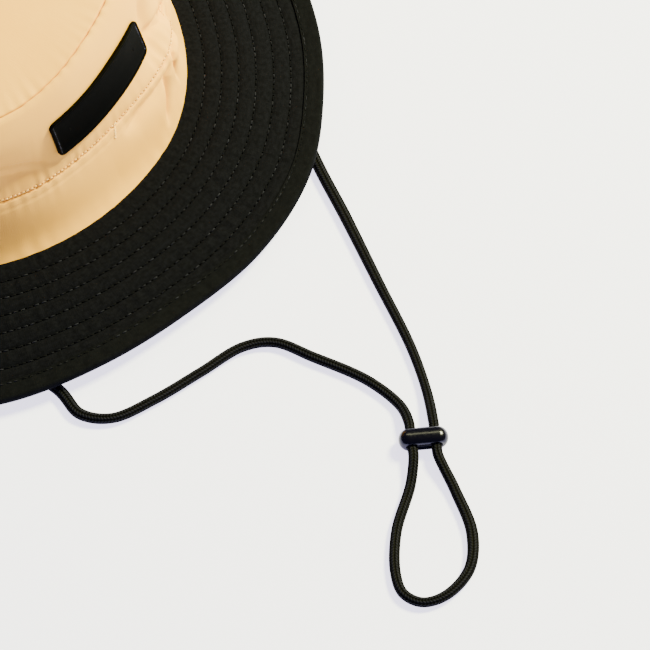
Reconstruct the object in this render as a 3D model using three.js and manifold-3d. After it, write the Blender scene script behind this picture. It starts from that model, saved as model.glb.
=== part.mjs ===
// Sun hat: a soft three-panel crown on a wide quilted brim, with a chin cord that runs
// from ear to ear through a two-hole sliding lock.
// Millimetres, +Z up. The origin is on the ground under the middle of the brim.
// The front of the hat faces -Y and the wearer's left is +X.
import * as THREE from 'three';
import { mergeVertices } from 'three/addons/utils/BufferGeometryUtils.js';
import Module from 'manifold-3d';

// Cloth and seams
const CROWN_CLOTH = 1.5;
const SEAM_GAP = 0.3;
const COLUMNS = 72;

// Heights above the ground
const BRIM_SEAM_HEIGHT = 14;
const TIP_CENTRE_HEIGHT = 85;
const SHOULDER_RISE = 1.2;

// Shape of the crown walls
const BAND_BULGE = 1.4;
const SIDE_LEAN = 0.35;
const SIDE_CLIMB = 0.6;
const SHOULDER_REACH = 0.4;
const FOLD_FADE = 0.35;

// Brim and its binding
const BRIM_THICKNESS = 2;
const BRIM_DROOP = 1.6;
const BRIM_TAPER = 2;
const BRIM_TOE = 0.06;
const BINDING_CLOTH = 1;
const BINDING_WIDTH = 7.4;
const BINDING_THICKNESS = 3.6;
const BINDING_ROUNDING = { inset: 1, rise: 0.5 };
const RESTING_WIDTH = 4;

// Label patch on the front of the crown
const PATCH_THICKNESS = 1.2;
const PATCH_FROM_BEARING = -20.8;
const PATCH_TO_BEARING = 19.6;
const PATCH_LOW = 0.125;
const PATCH_HIGH = 0.405;
const PATCH_CORNER = 2.4;
const PATCH_MARGIN = 0.35;

// Chin cord, its lock and its tabs
const CORD_DIAMETER = 3.4;
const CORD_STEPS = 80;
const CORD_SIDES = 8;
const LOCK_WIDTH = 17.6;
const LOCK_HEIGHT = 7.4;
const LOCK_LENGTH = 6.4;
const LOCK_EDGE = 1.2;
const LOCK_HOLE_RADIUS = 2.05;
const LOCK_HOLE_SIDES = 16;
const LOCK_HOLE_SPACING = 8.7;
const LOCK_CENTRE = { x: -32.5, y: -234.2, z: 3.75 };
const LOCK_TURN = THREE.MathUtils.degToRad(-51);
const LOCK_STRAIGHT = 7;
const TAB_SIZE = { across: 5, along: 8, up: 3 };
const TAB_RADIUS = 96.5;

// Outline of the hat by bearing, in degrees from the front towards the wearer's left.
// seamR: brim seam, midR and midZ: middle seam of the crown, tipR and tipZ: seam of the top
// panel, edgeR: outer edge of the brim, edgeLift: how far the edge stands off the ground.
const OUTLINE = [
  { bearing: -150, seamR: 93.2, midR: 85, midZ: 39, tipR: 73.5, tipZ: 78.5, edgeR: 144.1, edgeLift: 0 },
  { bearing: -120, seamR: 92.8, midR: 86, midZ: 38.5, tipR: 74.5, tipZ: 77.5, edgeR: 144.6, edgeLift: 0 },
  { bearing: -90, seamR: 92.2, midR: 85.5, midZ: 39, tipR: 75, tipZ: 76.5, edgeR: 144.4, edgeLift: 0 },
  { bearing: -60, seamR: 92.4, midR: 84.8, midZ: 39.5, tipR: 74.5, tipZ: 76.5, edgeR: 144.4, edgeLift: 1 },
  { bearing: -45, seamR: 92.3, midR: 84.3, midZ: 40, tipR: 74, tipZ: 76.5, edgeR: 144.2, edgeLift: 3.8 },
  { bearing: -30, seamR: 92.1, midR: 82.8, midZ: 40, tipR: 73.2, tipZ: 77, edgeR: 141.4, edgeLift: 5.2 },
  { bearing: -15, seamR: 92, midR: 80.6, midZ: 40, tipR: 70.5, tipZ: 78.5, edgeR: 140.2, edgeLift: 5 },
  { bearing: 0, seamR: 92.3, midR: 80.4, midZ: 40, tipR: 68.4, tipZ: 80.5, edgeR: 143.2, edgeLift: 5 },
  { bearing: 15, seamR: 92.8, midR: 81.8, midZ: 40, tipR: 68.2, tipZ: 82, edgeR: 145, edgeLift: 5.2 },
  { bearing: 30, seamR: 92.2, midR: 83.4, midZ: 40, tipR: 69.4, tipZ: 82.5, edgeR: 143.5, edgeLift: 3.4 },
  { bearing: 45, seamR: 91.2, midR: 83.8, midZ: 40.5, tipR: 71, tipZ: 82.5, edgeR: 144, edgeLift: 0.5 },
  { bearing: 60, seamR: 91, midR: 84, midZ: 41, tipR: 72.5, tipZ: 82.5, edgeR: 144.8, edgeLift: 0 },
  { bearing: 90, seamR: 91.6, midR: 85, midZ: 41, tipR: 74, tipZ: 82, edgeR: 144.4, edgeLift: 0 },
  { bearing: 120, seamR: 92.8, midR: 85.5, midZ: 40.5, tipR: 74.5, tipZ: 81, edgeR: 144.6, edgeLift: 0 },
  { bearing: 150, seamR: 93.4, midR: 85, midZ: 40, tipR: 74, tipZ: 80, edgeR: 144.1, edgeLift: 0 },
  { bearing: 180, seamR: 93.5, midR: 84.5, midZ: 39.5, tipR: 73.2, tipZ: 79.2, edgeR: 143.4, edgeLift: 0 },
];

// Soft folds pushed into the crown wall: where each lies, how long and wide it is, which way
// it slants in degrees from level, and how far it goes in (negative) or out.
const FOLDS = [
  { bearing: 27, height: 38, length: 20, width: 8, slant: 0, depth: 4.6 },
  { bearing: 37, height: 34, length: 24, width: 5, slant: 78, depth: -2.4 },
  { bearing: -34, height: 45, length: 22, width: 5, slant: 8, depth: -1.4 },
  { bearing: -70, height: 34, length: 24, width: 8, slant: 30, depth: -1.8 },
  { bearing: 84, height: 48, length: 26, width: 8, slant: -35, depth: -1.8 },
  { bearing: 132, height: 36, length: 30, width: 9, slant: 20, depth: -2.0 },
  { bearing: -140, height: 50, length: 30, width: 9, slant: -25, depth: -2.0 },
  { bearing: 172, height: 30, length: 26, width: 8, slant: 60, depth: -1.6 },
];

// Middle line of the chin cord in three stretches: from the left tab under the brim and along
// the ground to the lock, round the loop beyond the lock, and from the lock to the right tab.
const LEFT_STRAND = [
  [96.5, -4.3, 8.0], [97.8, -18, 4.6], [99.8, -34, 2.0], [98, -58, 1.75], [84, -90, 1.75],
  [48.2, -136.1, 1.75], [33.3, -158.6, 1.75], [15.5, -184.5, 1.75], [-1.6, -209.5, 1.75],
  [-14.2, -224.1, 2.0],
];
const LOOP = [
  [-43.4, -254.4, 1.9], [-54.6, -268.3, 1.75], [-67.5, -275.1, 1.75], [-80.6, -273.6, 1.75],
  [-87.3, -268.1, 1.75], [-87.9, -260.9, 1.75], [-82.6, -254.3, 1.75], [-68.6, -245.8, 1.75],
  [-50, -239.9, 2.0],
];
const RIGHT_STRAND = [
  [-24.6, -219.4, 2.0], [-22.0, -204, 1.75], [-24.4, -182, 1.75], [-26.8, -167, 1.75],
  [-34.6, -158.5, 1.75], [-51.8, -151.7, 1.75], [-70.4, -144.2, 1.75], [-85, -135.8, 1.75],
  [-89.7, -125.4, 1.75], [-85.6, -112.1, 1.75], [-88, -58, 1.9], [-97.4, -22, 4.2],
  [-96.5, -4.3, 8.0],
];

const CREAM_CLOTH = new THREE.MeshStandardMaterial({ color: 0xf2d6a6, roughness: 0.75 });
const BLACK_CLOTH = new THREE.MeshStandardMaterial({ color: 0x1c1c1a, roughness: 0.85 });
const BLACK_TAPE = new THREE.MeshStandardMaterial({ color: 0x151514, roughness: 0.8 });
const BLACK_RUBBER = new THREE.MeshStandardMaterial({ color: 0x0c0d10, roughness: 0.5 });
const BLACK_BRAID = new THREE.MeshStandardMaterial({ color: 0x121212, roughness: 0.8 });
const BLACK_PLASTIC = new THREE.MeshStandardMaterial({ color: 0x0a0a0a, roughness: 0.25 });

const wasm = await Module();
wasm.setup();
const UP = new THREE.Vector3(0, 0, 1);
const hat = new THREE.Group();

function clamp(value, low, high) {
  return Math.min(high, Math.max(low, value));
}

function lerp(from, to, share) {
  return from + (to - from) * share;
}

// One outline column read at any bearing, on a smooth closed curve through its rows.
function outline(column, bearing) {
  const count = OUTLINE.length;
  const first = OUTLINE[0].bearing;
  const turned = ((bearing - first) % 360 + 360) % 360 + first;
  let row = count - 1;
  while (OUTLINE[row].bearing > turned) row -= 1;
  const at = (index) => {
    const wrapped = (index + count) % count;
    const turns = Math.floor(index / count);
    return { bearing: OUTLINE[wrapped].bearing + 360 * turns, value: OUTLINE[wrapped][column] };
  };
  const [before, here, next, after] = [at(row - 1), at(row), at(row + 1), at(row + 2)];
  const span = next.bearing - here.bearing;
  const share = (turned - here.bearing) / span;
  const slopeHere = (next.value - before.value) / (next.bearing - before.bearing) * span;
  const slopeNext = (after.value - here.value) / (after.bearing - here.bearing) * span;
  const square = share * share;
  const cube = square * share;
  return here.value * (2 * cube - 3 * square + 1) + slopeHere * (cube - 2 * square + share)
    + next.value * (3 * square - 2 * cube) + slopeNext * (cube - square);
}

function edgeLift(bearing) {
  return Math.max(0, outline('edgeLift', bearing));
}

// How far the folds move the crown wall at a bearing and a height.
function foldDepth(bearing, height) {
  let depth = 0;
  for (const fold of FOLDS) {
    const turn = ((bearing - fold.bearing + 540) % 360) - 180;
    const across = THREE.MathUtils.degToRad(turn) * outline('midR', bearing);
    const up = height - fold.height;
    const slant = THREE.MathUtils.degToRad(fold.slant);
    const along = across * Math.cos(slant) + up * Math.sin(slant);
    const beside = -across * Math.sin(slant) + up * Math.cos(slant);
    depth += fold.depth * Math.exp(-((along / fold.length) ** 2) - ((beside / fold.width) ** 2));
  }
  return depth;
}

// Lower wall of the crown: share 0 at the brim seam, 1 at the middle seam.
function bandProfile(bearing, share) {
  const height = lerp(BRIM_SEAM_HEIGHT + SEAM_GAP, outline('midZ', bearing) - SEAM_GAP / 2, share);
  const bulge = BAND_BULGE * Math.sin(Math.PI * share);
  const fold = foldDepth(bearing, height) * Math.min(1, share / FOLD_FADE);
  const radius = lerp(outline('seamR', bearing), outline('midR', bearing), share) + bulge + fold;
  return [radius, height];
}

// Upper wall of the crown: share 0 at the middle seam, 1 over the shoulder at the tip seam.
function sideProfile(bearing, share) {
  const low = { r: outline('midR', bearing), z: outline('midZ', bearing) + SEAM_GAP / 2 };
  const top = { r: outline('tipR', bearing), z: outline('tipZ', bearing) };
  const inward = low.r - top.r;
  const upward = top.z - low.z;
  const rest = 1 - share;
  const weights = [rest ** 3, 3 * rest * rest * share, 3 * rest * share * share, share ** 3];
  const radii = [low.r, low.r - SIDE_LEAN * inward, top.r + SHOULDER_REACH * inward, top.r];
  const heights = [low.z, low.z + SIDE_CLIMB * upward, top.z + SHOULDER_RISE, top.z];
  const height = weights.reduce((sum, weight, i) => sum + weight * heights[i], 0);
  const radius = weights.reduce((sum, weight, i) => sum + weight * radii[i], 0);
  return [radius + foldDepth(bearing, height) * Math.min(1, rest / FOLD_FADE), height];
}

// Point of a wall profile, moved off the outer face by a distance along its normal.
function offsetProfile(profile, bearing, share, distance) {
  const step = 0.02;
  const [r, z] = profile(bearing, share);
  const [r0, z0] = profile(bearing, Math.max(0, share - step));
  const [r1, z1] = profile(bearing, Math.min(1, share + step));
  const length = Math.hypot(r1 - r0, z1 - z0);
  return [r + distance * (z1 - z0) / length, z - distance * (r1 - r0) / length];
}

// Middle height of the brim's two plies at a bearing and a radius.
function brimMiddle(bearing, radius) {
  const lift = edgeLift(bearing);
  const flatFrom = outline('edgeR', bearing) - RESTING_WIDTH;
  const share = clamp((flatFrom - radius) / (flatFrom - outline('seamR', bearing)), 0, 1.1);
  const eased = share * share * (1 + BRIM_TOE) / (share + BRIM_TOE);
  const low = lift + BINDING_THICKNESS / 2;
  const high = BRIM_SEAM_HEIGHT - BRIM_THICKNESS / 2;
  return lerp(low, high, eased) + BRIM_DROOP * Math.sin(Math.PI * Math.min(1, share)) * eased;
}

function toPoint(bearing, radius, height) {
  const angle = THREE.MathUtils.degToRad(bearing);
  return [radius * Math.sin(angle), -radius * Math.cos(angle), height];
}

function addMesh(name, geometry, material) {
  const mesh = new THREE.Mesh(geometry, material);
  mesh.name = name;
  hat.add(mesh);
  return mesh;
}

function meshFrom(points, triangles) {
  const geometry = new THREE.BufferGeometry();
  geometry.setAttribute('position', new THREE.Float32BufferAttribute(points.flat(), 3));
  geometry.setIndex(triangles);
  geometry.computeVertexNormals();
  return geometry;
}

// Closed ring: the same section, a closed list of [radius, height], at each bearing.
// The section runs up the outer face and down the inner one.
function ringGeometry(sectionAt) {
  const points = [];
  const triangles = [];
  let sides = 0;
  for (let column = 0; column < COLUMNS; column += 1) {
    const bearing = 360 * column / COLUMNS;
    const section = sectionAt(bearing);
    sides = section.length;
    for (const [radius, height] of section) points.push(toPoint(bearing, radius, height));
  }
  for (let column = 0; column < COLUMNS; column += 1) {
    const next = (column + 1) % COLUMNS;
    for (let side = 0; side < sides; side += 1) {
      const other = (side + 1) % sides;
      const a = column * sides + side;
      const b = next * sides + side;
      const c = next * sides + other;
      const d = column * sides + other;
      triangles.push(a, b, c, a, c, d);
    }
  }
  return meshFrom(points, triangles);
}

// Wall section of the crown: outer face upwards, inner face downwards, with a level lower end.
function wallSection(profile, bearing, rows) {
  const outer = [];
  const inner = [];
  const bottom = profile(bearing, 0)[1];
  for (let row = 0; row <= rows; row += 1) {
    outer.push(profile(bearing, row / rows));
    const [radius, height] = offsetProfile(profile, bearing, row / rows, -CROWN_CLOTH);
    inner.unshift([radius, Math.max(height, bottom)]);
  }
  return [...outer, ...inner];
}

function addCrownWalls() {
  addMesh('crown_band', ringGeometry((bearing) => wallSection(bandProfile, bearing, 4)), CREAM_CLOTH);
  addMesh('crown_side', ringGeometry((bearing) => wallSection(sideProfile, bearing, 7)), CREAM_CLOTH);
}

// Top panel: a slightly domed disc, thick as the crown cloth, inside the tip seam.
function addCrownTip() {
  const rings = [1, 0.92, 0.72, 0.45, 0.2];
  const points = [];
  const triangles = [];
  for (const drop of [0, CROWN_CLOTH]) {
    for (const ring of rings) {
      for (let column = 0; column < COLUMNS; column += 1) {
        const bearing = 360 * column / COLUMNS;
        const radius = (outline('tipR', bearing) - SEAM_GAP) * ring;
        const height = lerp(TIP_CENTRE_HEIGHT, outline('tipZ', bearing), ring ** 2) - drop;
        points.push(toPoint(bearing, radius, height));
      }
    }
    points.push([0, 0, TIP_CENTRE_HEIGHT - drop]);
  }
  const skin = rings.length * COLUMNS + 1;
  const addQuad = (a, b, c, d) => triangles.push(a, b, c, a, c, d);
  for (let column = 0; column < COLUMNS; column += 1) {
    const next = (column + 1) % COLUMNS;
    for (let ring = 0; ring + 1 < rings.length; ring += 1) {
      const [outer, inner] = [ring * COLUMNS, (ring + 1) * COLUMNS];
      addQuad(outer + column, outer + next, inner + next, inner + column);
      addQuad(skin + inner + column, skin + inner + next, skin + outer + next, skin + outer + column);
    }
    const last = (rings.length - 1) * COLUMNS;
    triangles.push(last + column, last + next, skin - 1);
    triangles.push(skin + last + next, skin + last + column, 2 * skin - 1);
    addQuad(skin + column, skin + next, next, column);
  }
  addMesh('crown_tip', meshFrom(points, triangles), CREAM_CLOTH);
}

// Quilted brim: full thickness up to the binding, thinner where the tape folds over it.
function brimSection(bearing) {
  const seam = outline('seamR', bearing);
  const edge = outline('edgeR', bearing);
  const inner = seam - CROWN_CLOTH - SEAM_GAP;
  const full = edge - BINDING_WIDTH - BRIM_TAPER;
  const thin = edge - BINDING_WIDTH - 2 * SEAM_GAP;
  const end = edge - BINDING_CLOTH - 2 * SEAM_GAP;
  const thinHalf = BINDING_THICKNESS / 2 - BINDING_CLOTH - SEAM_GAP;
  const stations = [
    { radius: inner, half: BRIM_THICKNESS / 2 },
    { radius: lerp(seam, full, 0.25), half: BRIM_THICKNESS / 2 },
    { radius: lerp(seam, full, 0.5), half: BRIM_THICKNESS / 2 },
    { radius: lerp(seam, full, 0.75), half: BRIM_THICKNESS / 2 },
    { radius: full, half: BRIM_THICKNESS / 2 },
    { radius: thin, half: thinHalf },
    { radius: end, half: thinHalf },
  ];
  const middle = (station) => brimMiddle(bearing, Math.max(station.radius, seam));
  const under = stations.map((station) => [station.radius, middle(station) - station.half]);
  const over = stations.map((station) => [station.radius, middle(station) + station.half]);
  return [...under, ...over.reverse()];
}

// Binding tape: a folded strip with its mouth towards the crown and the brim's edge inside.
function bindingSection(bearing) {
  const edge = outline('edgeR', bearing);
  const half = BINDING_THICKNESS / 2;
  const face = (inset, side) => [edge - inset, brimMiddle(bearing, edge - inset) + side];
  const wall = half - BINDING_CLOTH;
  const { inset, rise } = BINDING_ROUNDING;
  return [
    face(BINDING_WIDTH, -half), face(RESTING_WIDTH, -half), face(inset, -half), face(0, rise - half),
    face(0, half - rise), face(inset, half), face(RESTING_WIDTH, half), face(BINDING_WIDTH, half),
    face(BINDING_WIDTH, wall), face(RESTING_WIDTH, wall), face(BINDING_CLOTH, wall),
    face(BINDING_CLOTH, -wall), face(RESTING_WIDTH, -wall), face(BINDING_WIDTH, -wall),
  ];
}

// Label patch: a thin plate with rounded corners, bent over the crown wall.
function addPatch() {
  const middleRadius = outline('midR', 0);
  const cornerTurn = THREE.MathUtils.radToDeg(PATCH_CORNER / middleRadius);
  const cornerShares = [0, 0.12, 0.45, 1];
  const middleColumns = 7;
  const bearings = cornerShares.map((share) => PATCH_FROM_BEARING + share * cornerTurn);
  for (let column = 1; column < middleColumns; column += 1) {
    const share = column / middleColumns;
    bearings.push(lerp(PATCH_FROM_BEARING + cornerTurn, PATCH_TO_BEARING - cornerTurn, share));
  }
  bearings.push(...cornerShares.map((share) => PATCH_TO_BEARING - share * cornerTurn).reverse());
  const cornerShare = 0.75 * PATCH_CORNER / (outline('tipZ', 0) - outline('midZ', 0));
  const rows = 5;
  const points = [];
  const triangles = [];
  for (const distance of [PATCH_MARGIN + PATCH_THICKNESS, PATCH_MARGIN]) {
    for (const bearing of bearings) {
      const fromEnd = Math.min(bearing - PATCH_FROM_BEARING, PATCH_TO_BEARING - bearing) / cornerTurn;
      const trim = cornerShare * (1 - Math.sqrt(1 - (1 - clamp(fromEnd, 0, 1)) ** 2));
      for (let row = 0; row < rows; row += 1) {
        const share = lerp(PATCH_LOW + trim, PATCH_HIGH - trim, row / (rows - 1));
        const [radius, height] = offsetProfile(sideProfile, bearing, share, distance);
        points.push(toPoint(bearing, radius, height));
      }
    }
  }
  const columns = bearings.length;
  const skin = columns * rows;
  const addQuad = (a, b, c, d) => triangles.push(a, b, c, a, c, d);
  for (let column = 0; column + 1 < columns; column += 1) {
    for (let row = 0; row + 1 < rows; row += 1) {
      const a = column * rows + row;
      const b = a + rows;
      addQuad(a, b, b + 1, a + 1);
      addQuad(skin + a, skin + a + 1, skin + b + 1, skin + b);
    }
    const low = column * rows;
    const high = low + rows - 1;
    addQuad(skin + low, skin + low + rows, low + rows, low);
    addQuad(high, high + rows, skin + high + rows, skin + high);
  }
  const end = (columns - 1) * rows;
  for (let row = 0; row + 1 < rows; row += 1) {
    addQuad(row, row + 1, skin + row + 1, skin + row);
    addQuad(end + row + 1, end + row, skin + end + row, skin + end + row + 1);
  }
  addMesh('front_patch', meshFrom(points, triangles), BLACK_RUBBER);
}

// Straight way through one hole of the lock, away from the crown (1) or back to it (-1).
function throughLock(hole, heading) {
  const along = [LOCK_STRAIGHT, LOCK_LENGTH / 2, -LOCK_LENGTH / 2, -LOCK_STRAIGHT];
  const across = hole * LOCK_HOLE_SPACING / 2;
  return along.map((distance) => {
    const place = new THREE.Vector3(across, heading * distance, 0);
    return place.applyAxisAngle(UP, LOCK_TURN).add(LOCK_CENTRE).toArray();
  });
}

function addCord() {
  const points = [
    ...LEFT_STRAND, ...throughLock(1, 1), ...LOOP, ...throughLock(-1, -1), ...RIGHT_STRAND,
  ];
  const route = points.map(([x, y, z]) => new THREE.Vector3(x, y, z));
  const path = new THREE.CatmullRomCurve3(route, false, 'centripetal');
  const corners = [];
  for (let side = 0; side < CORD_SIDES; side += 1) {
    const angle = 2 * Math.PI * (side + 0.5) / CORD_SIDES;
    corners.push(new THREE.Vector2(Math.cos(angle), Math.sin(angle)).multiplyScalar(CORD_DIAMETER / 2));
  }
  const geometry = new THREE.ExtrudeGeometry(new THREE.Shape(corners), {
    steps: CORD_STEPS,
    extrudePath: path,
    bevelEnabled: false,
  });
  addMesh('chin_cord', geometry, BLACK_BRAID);
}

function toSolid(geometry) {
  const plain = geometry.clone();
  plain.deleteAttribute('normal');
  plain.deleteAttribute('uv');
  const merged = mergeVertices(plain, 1e-4);
  const vertProperties = new Float32Array(merged.attributes.position.array);
  const triVerts = new Uint32Array(merged.index.array);
  return new wasm.Manifold(new wasm.Mesh({ numProp: 3, vertProperties, triVerts }));
}

function fromSolid(solid) {
  const { vertProperties, triVerts } = solid.getMesh();
  const geometry = new THREE.BufferGeometry();
  geometry.setAttribute('position', new THREE.BufferAttribute(vertProperties, 3));
  geometry.setIndex(new THREE.BufferAttribute(triVerts, 1));
  geometry.computeVertexNormals();
  return geometry;
}

// Sliding lock: a pebble with flat ends, lying on the ground, with two round holes for the cord.
function addLock() {
  const straight = (LOCK_WIDTH - LOCK_HEIGHT) / 2;
  const round = LOCK_HEIGHT / 2 - LOCK_EDGE;
  const shape = new THREE.Shape();
  shape.absarc(straight, 0, round, -Math.PI / 2, Math.PI / 2, false);
  shape.absarc(-straight, 0, round, Math.PI / 2, Math.PI * 1.5, false);
  shape.closePath();
  const pebble = new THREE.ExtrudeGeometry(shape, {
    depth: LOCK_LENGTH - 2 * LOCK_EDGE,
    curveSegments: 6,
    bevelThickness: LOCK_EDGE,
    bevelSize: LOCK_EDGE,
    bevelSegments: 3,
  });
  pebble.translate(0, 0, LOCK_EDGE - LOCK_LENGTH / 2);
  pebble.rotateX(Math.PI / 2);
  let lockSolid = toSolid(pebble);
  for (const side of [-1, 1]) {
    const size = [LOCK_HOLE_RADIUS, LOCK_HOLE_RADIUS, 2 * LOCK_LENGTH, LOCK_HOLE_SIDES];
    const hole = new THREE.CylinderGeometry(...size);
    hole.translate(side * LOCK_HOLE_SPACING / 2, 0, 0);
    lockSolid = lockSolid.subtract(toSolid(hole));
  }
  const lock = addMesh('cord_lock', fromSolid(lockSolid), BLACK_PLASTIC);
  lock.position.copy(LOCK_CENTRE);
  lock.rotation.z = LOCK_TURN;
}

// Tabs under the brim at the ears, each just ahead of the cord's end.
function addTabs() {
  for (const [name, side] of [['cord_tab_left', 1], ['cord_tab_right', -1]]) {
    const outside = TAB_RADIUS + TAB_SIZE.across / 2;
    const top = brimMiddle(90 * side, outside) - BRIM_THICKNESS / 2 - SEAM_GAP;
    const geometry = new THREE.BoxGeometry(TAB_SIZE.across, TAB_SIZE.along, TAB_SIZE.up);
    const tab = addMesh(name, geometry, BLACK_TAPE);
    tab.position.set(side * TAB_RADIUS, 0, top - TAB_SIZE.up / 2);
  }
}

addCrownTip();
addCrownWalls();
addMesh('brim', ringGeometry(brimSection), BLACK_CLOTH);
addMesh('brim_binding', ringGeometry(bindingSection), BLACK_TAPE);
addPatch();
addCord();
addLock();
addTabs();

export default hat;
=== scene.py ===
"""Sun hat with a three-panel crown, a quilted brim and a chin cord doubled through a lock.

Metres, +Z up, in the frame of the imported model: the origin is on the ground under the middle
of the brim, the front faces -Y and the wearer's left is +X. A bearing is the angle in degrees
from the front towards the wearer's left.
"""
from math import ceil, cos, pi, radians, sin

import bmesh
import bpy
import numpy as np
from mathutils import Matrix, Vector


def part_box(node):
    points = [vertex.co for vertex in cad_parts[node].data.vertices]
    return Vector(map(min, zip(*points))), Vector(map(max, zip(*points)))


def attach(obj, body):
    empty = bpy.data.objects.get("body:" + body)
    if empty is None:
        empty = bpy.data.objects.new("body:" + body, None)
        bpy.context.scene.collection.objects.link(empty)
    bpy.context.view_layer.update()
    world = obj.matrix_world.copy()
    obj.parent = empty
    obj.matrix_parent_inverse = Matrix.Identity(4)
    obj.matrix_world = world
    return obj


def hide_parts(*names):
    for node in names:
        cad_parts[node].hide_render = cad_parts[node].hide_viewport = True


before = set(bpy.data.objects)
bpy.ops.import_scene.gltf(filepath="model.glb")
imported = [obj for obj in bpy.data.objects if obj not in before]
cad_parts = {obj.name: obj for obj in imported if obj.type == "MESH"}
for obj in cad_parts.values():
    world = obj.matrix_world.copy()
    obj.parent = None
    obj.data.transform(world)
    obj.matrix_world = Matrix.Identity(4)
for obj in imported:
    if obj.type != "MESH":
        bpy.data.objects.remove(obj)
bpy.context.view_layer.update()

# Camera. It looks down on the hat from its front right, at the photograph's angle, through a
# long lens. The aim is the point of the ground in the middle of the picture.
CAMERA_BEARING = -57.0
CAMERA_ELEVATION = 58.0
CAMERA_DISTANCE = 1.3
CAMERA_AIM = Vector((-0.0097, -0.1777, 0.0))
LENS_MILLIMETRES = 198.0
SENSOR_MILLIMETRES = 36.0


def add_object(name, data):
    """A new object in the scene."""
    thing = bpy.data.objects.new(name, data)
    bpy.context.collection.objects.link(thing)
    return thing


def aim_at(thing, target, distance, bearing, elevation):
    """Put a camera or lamp off a target, at a bearing and elevation in degrees, looking at it."""
    turn = radians(bearing)
    rise = radians(elevation)
    away = Vector((sin(turn) * cos(rise), -cos(turn) * cos(rise), sin(rise)))
    thing.location = target + distance * away
    thing.rotation_euler = (target - thing.location).to_track_quat("-Z", "Y").to_euler()


lens = bpy.data.cameras.new("photo_camera")
lens.lens = LENS_MILLIMETRES
lens.sensor_width = SENSOR_MILLIMETRES
camera = add_object("photo_camera", lens)
aim_at(camera, CAMERA_AIM, CAMERA_DISTANCE, CAMERA_BEARING, CAMERA_ELEVATION)
bpy.context.scene.camera = camera

# Floor and light. A matt pale table that glows like a light box, in a dim bluish room. A soft
# yellow lamp stands in front on the wearer's left, and a weaker long one behind on the same
# side, so that the crown has a light and a shaded side.
FLOOR_SIDE = 6.0
FLOOR_DROP = 0.0001
FLOOR_COLOUR = (0.60, 0.62, 0.98)
FLOOR_GLOW_COLOUR = (0.84, 0.80, 1.0)
FLOOR_GLOW = 2.6
FLOOR_ROUGHNESS = 0.9
FLOOR_GLOSS = 0.1
ROOM_COLOUR = (0.95, 0.93, 1.7)
ROOM_STRENGTH = 0.18
LAMP_COLOUR = (1.0, 0.99, 0.33)
LAMPS = (
    # name, bearing, elevation, distance, width, height, watts
    ("key_lamp", 66.0, 45.0, 1.7, 0.4, 0.4, 150.0),
    ("back_lamp", 123.0, 60.0, 2.0, 1.5, 0.3, 20.0),
)
LAMP_AIM = Vector((0.0, -0.05, 0.04))


def new_material(name, colour, roughness, gloss):
    """A material with its Principled shader, in a plain colour, roughness and gloss."""
    material = bpy.data.materials.new(name)
    material.use_nodes = True
    shader = material.node_tree.nodes["Principled BSDF"]
    shader.inputs["Base Color"].default_value = (*colour, 1)
    shader.inputs["Roughness"].default_value = roughness
    shader.inputs["Specular IOR Level"].default_value = gloss
    return material, shader


floor_corners = [
    (x * FLOOR_SIDE / 2, y * FLOOR_SIDE / 2, -FLOOR_DROP)
    for x, y in ((-1, -1), (1, -1), (1, 1), (-1, 1))
]
floor_mesh = bpy.data.meshes.new("floor")
floor_mesh.from_pydata(floor_corners, [], [(0, 1, 2, 3)])
floor_paint, floor_shader = new_material(
    "floor_paint", FLOOR_COLOUR, FLOOR_ROUGHNESS, FLOOR_GLOSS
)
floor_shader.inputs["Emission Color"].default_value = (*FLOOR_GLOW_COLOUR, 1)
floor_shader.inputs["Emission Strength"].default_value = FLOOR_GLOW
floor_mesh.materials.append(floor_paint)
floor = add_object("floor", floor_mesh)

room = bpy.data.worlds.new("white_room")
room.use_nodes = True
room_light = room.node_tree.nodes["Background"]
room_light.inputs["Color"].default_value = (*ROOM_COLOUR, 1)
room_light.inputs["Strength"].default_value = ROOM_STRENGTH
bpy.context.scene.world = room

for lamp_name, bearing, elevation, lamp_distance, lamp_width, lamp_height, lamp_watts in LAMPS:
    lamp = bpy.data.lights.new(lamp_name, "AREA")
    lamp.shape = "RECTANGLE"
    lamp.size = lamp_width
    lamp.size_y = lamp_height
    lamp.energy = lamp_watts
    lamp.color = LAMP_COLOUR
    lamp_object = add_object(lamp_name, lamp)
    aim_at(lamp_object, LAMP_AIM, lamp_distance, bearing, elevation)

# Chin cord. One slightly oval cord of black polyester yarn, braided so that it shows fine
# lengthwise ribs of slanting yarns, and sewn to a tab at each ear. It comes out under the front
# of the brim, lies on the table and goes double through the lock, with a loop beyond it.
CORD_WIDTH = 0.0039
CORD_HEIGHT = 0.0034
CORD_RING_SPACING = 0.0006
CORD_STRETCH_STEPS = 60
CORD_SIDES = 64
CORD_RIBS = 8
CORD_RIB_RELIEF = 0.00026
CORD_RIB_SHARPNESS = 2.5
CORD_YARN_PITCH = 0.0011
CORD_YARN_SLANT = 0.9
CORD_YARN_HEIGHT = 0.3
CORD_FIBRES = 5200.0
CORD_FIBRE_STRETCH = 0.2
CORD_BUMP = 0.00012
# The cord's colour runs from a painted shaded tone in its grooves to a painted lit tone on its
# crowns.
CORD_GROOVE_SHADE = 0.8
CORD_SHADE_ENDS = (0.12, 0.75)
CORD_SHADED_TONE = (0.0003, 0.0003, 0.0006)
CORD_LIT_TONE = (0.0120, 0.0124, 0.0290)
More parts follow.
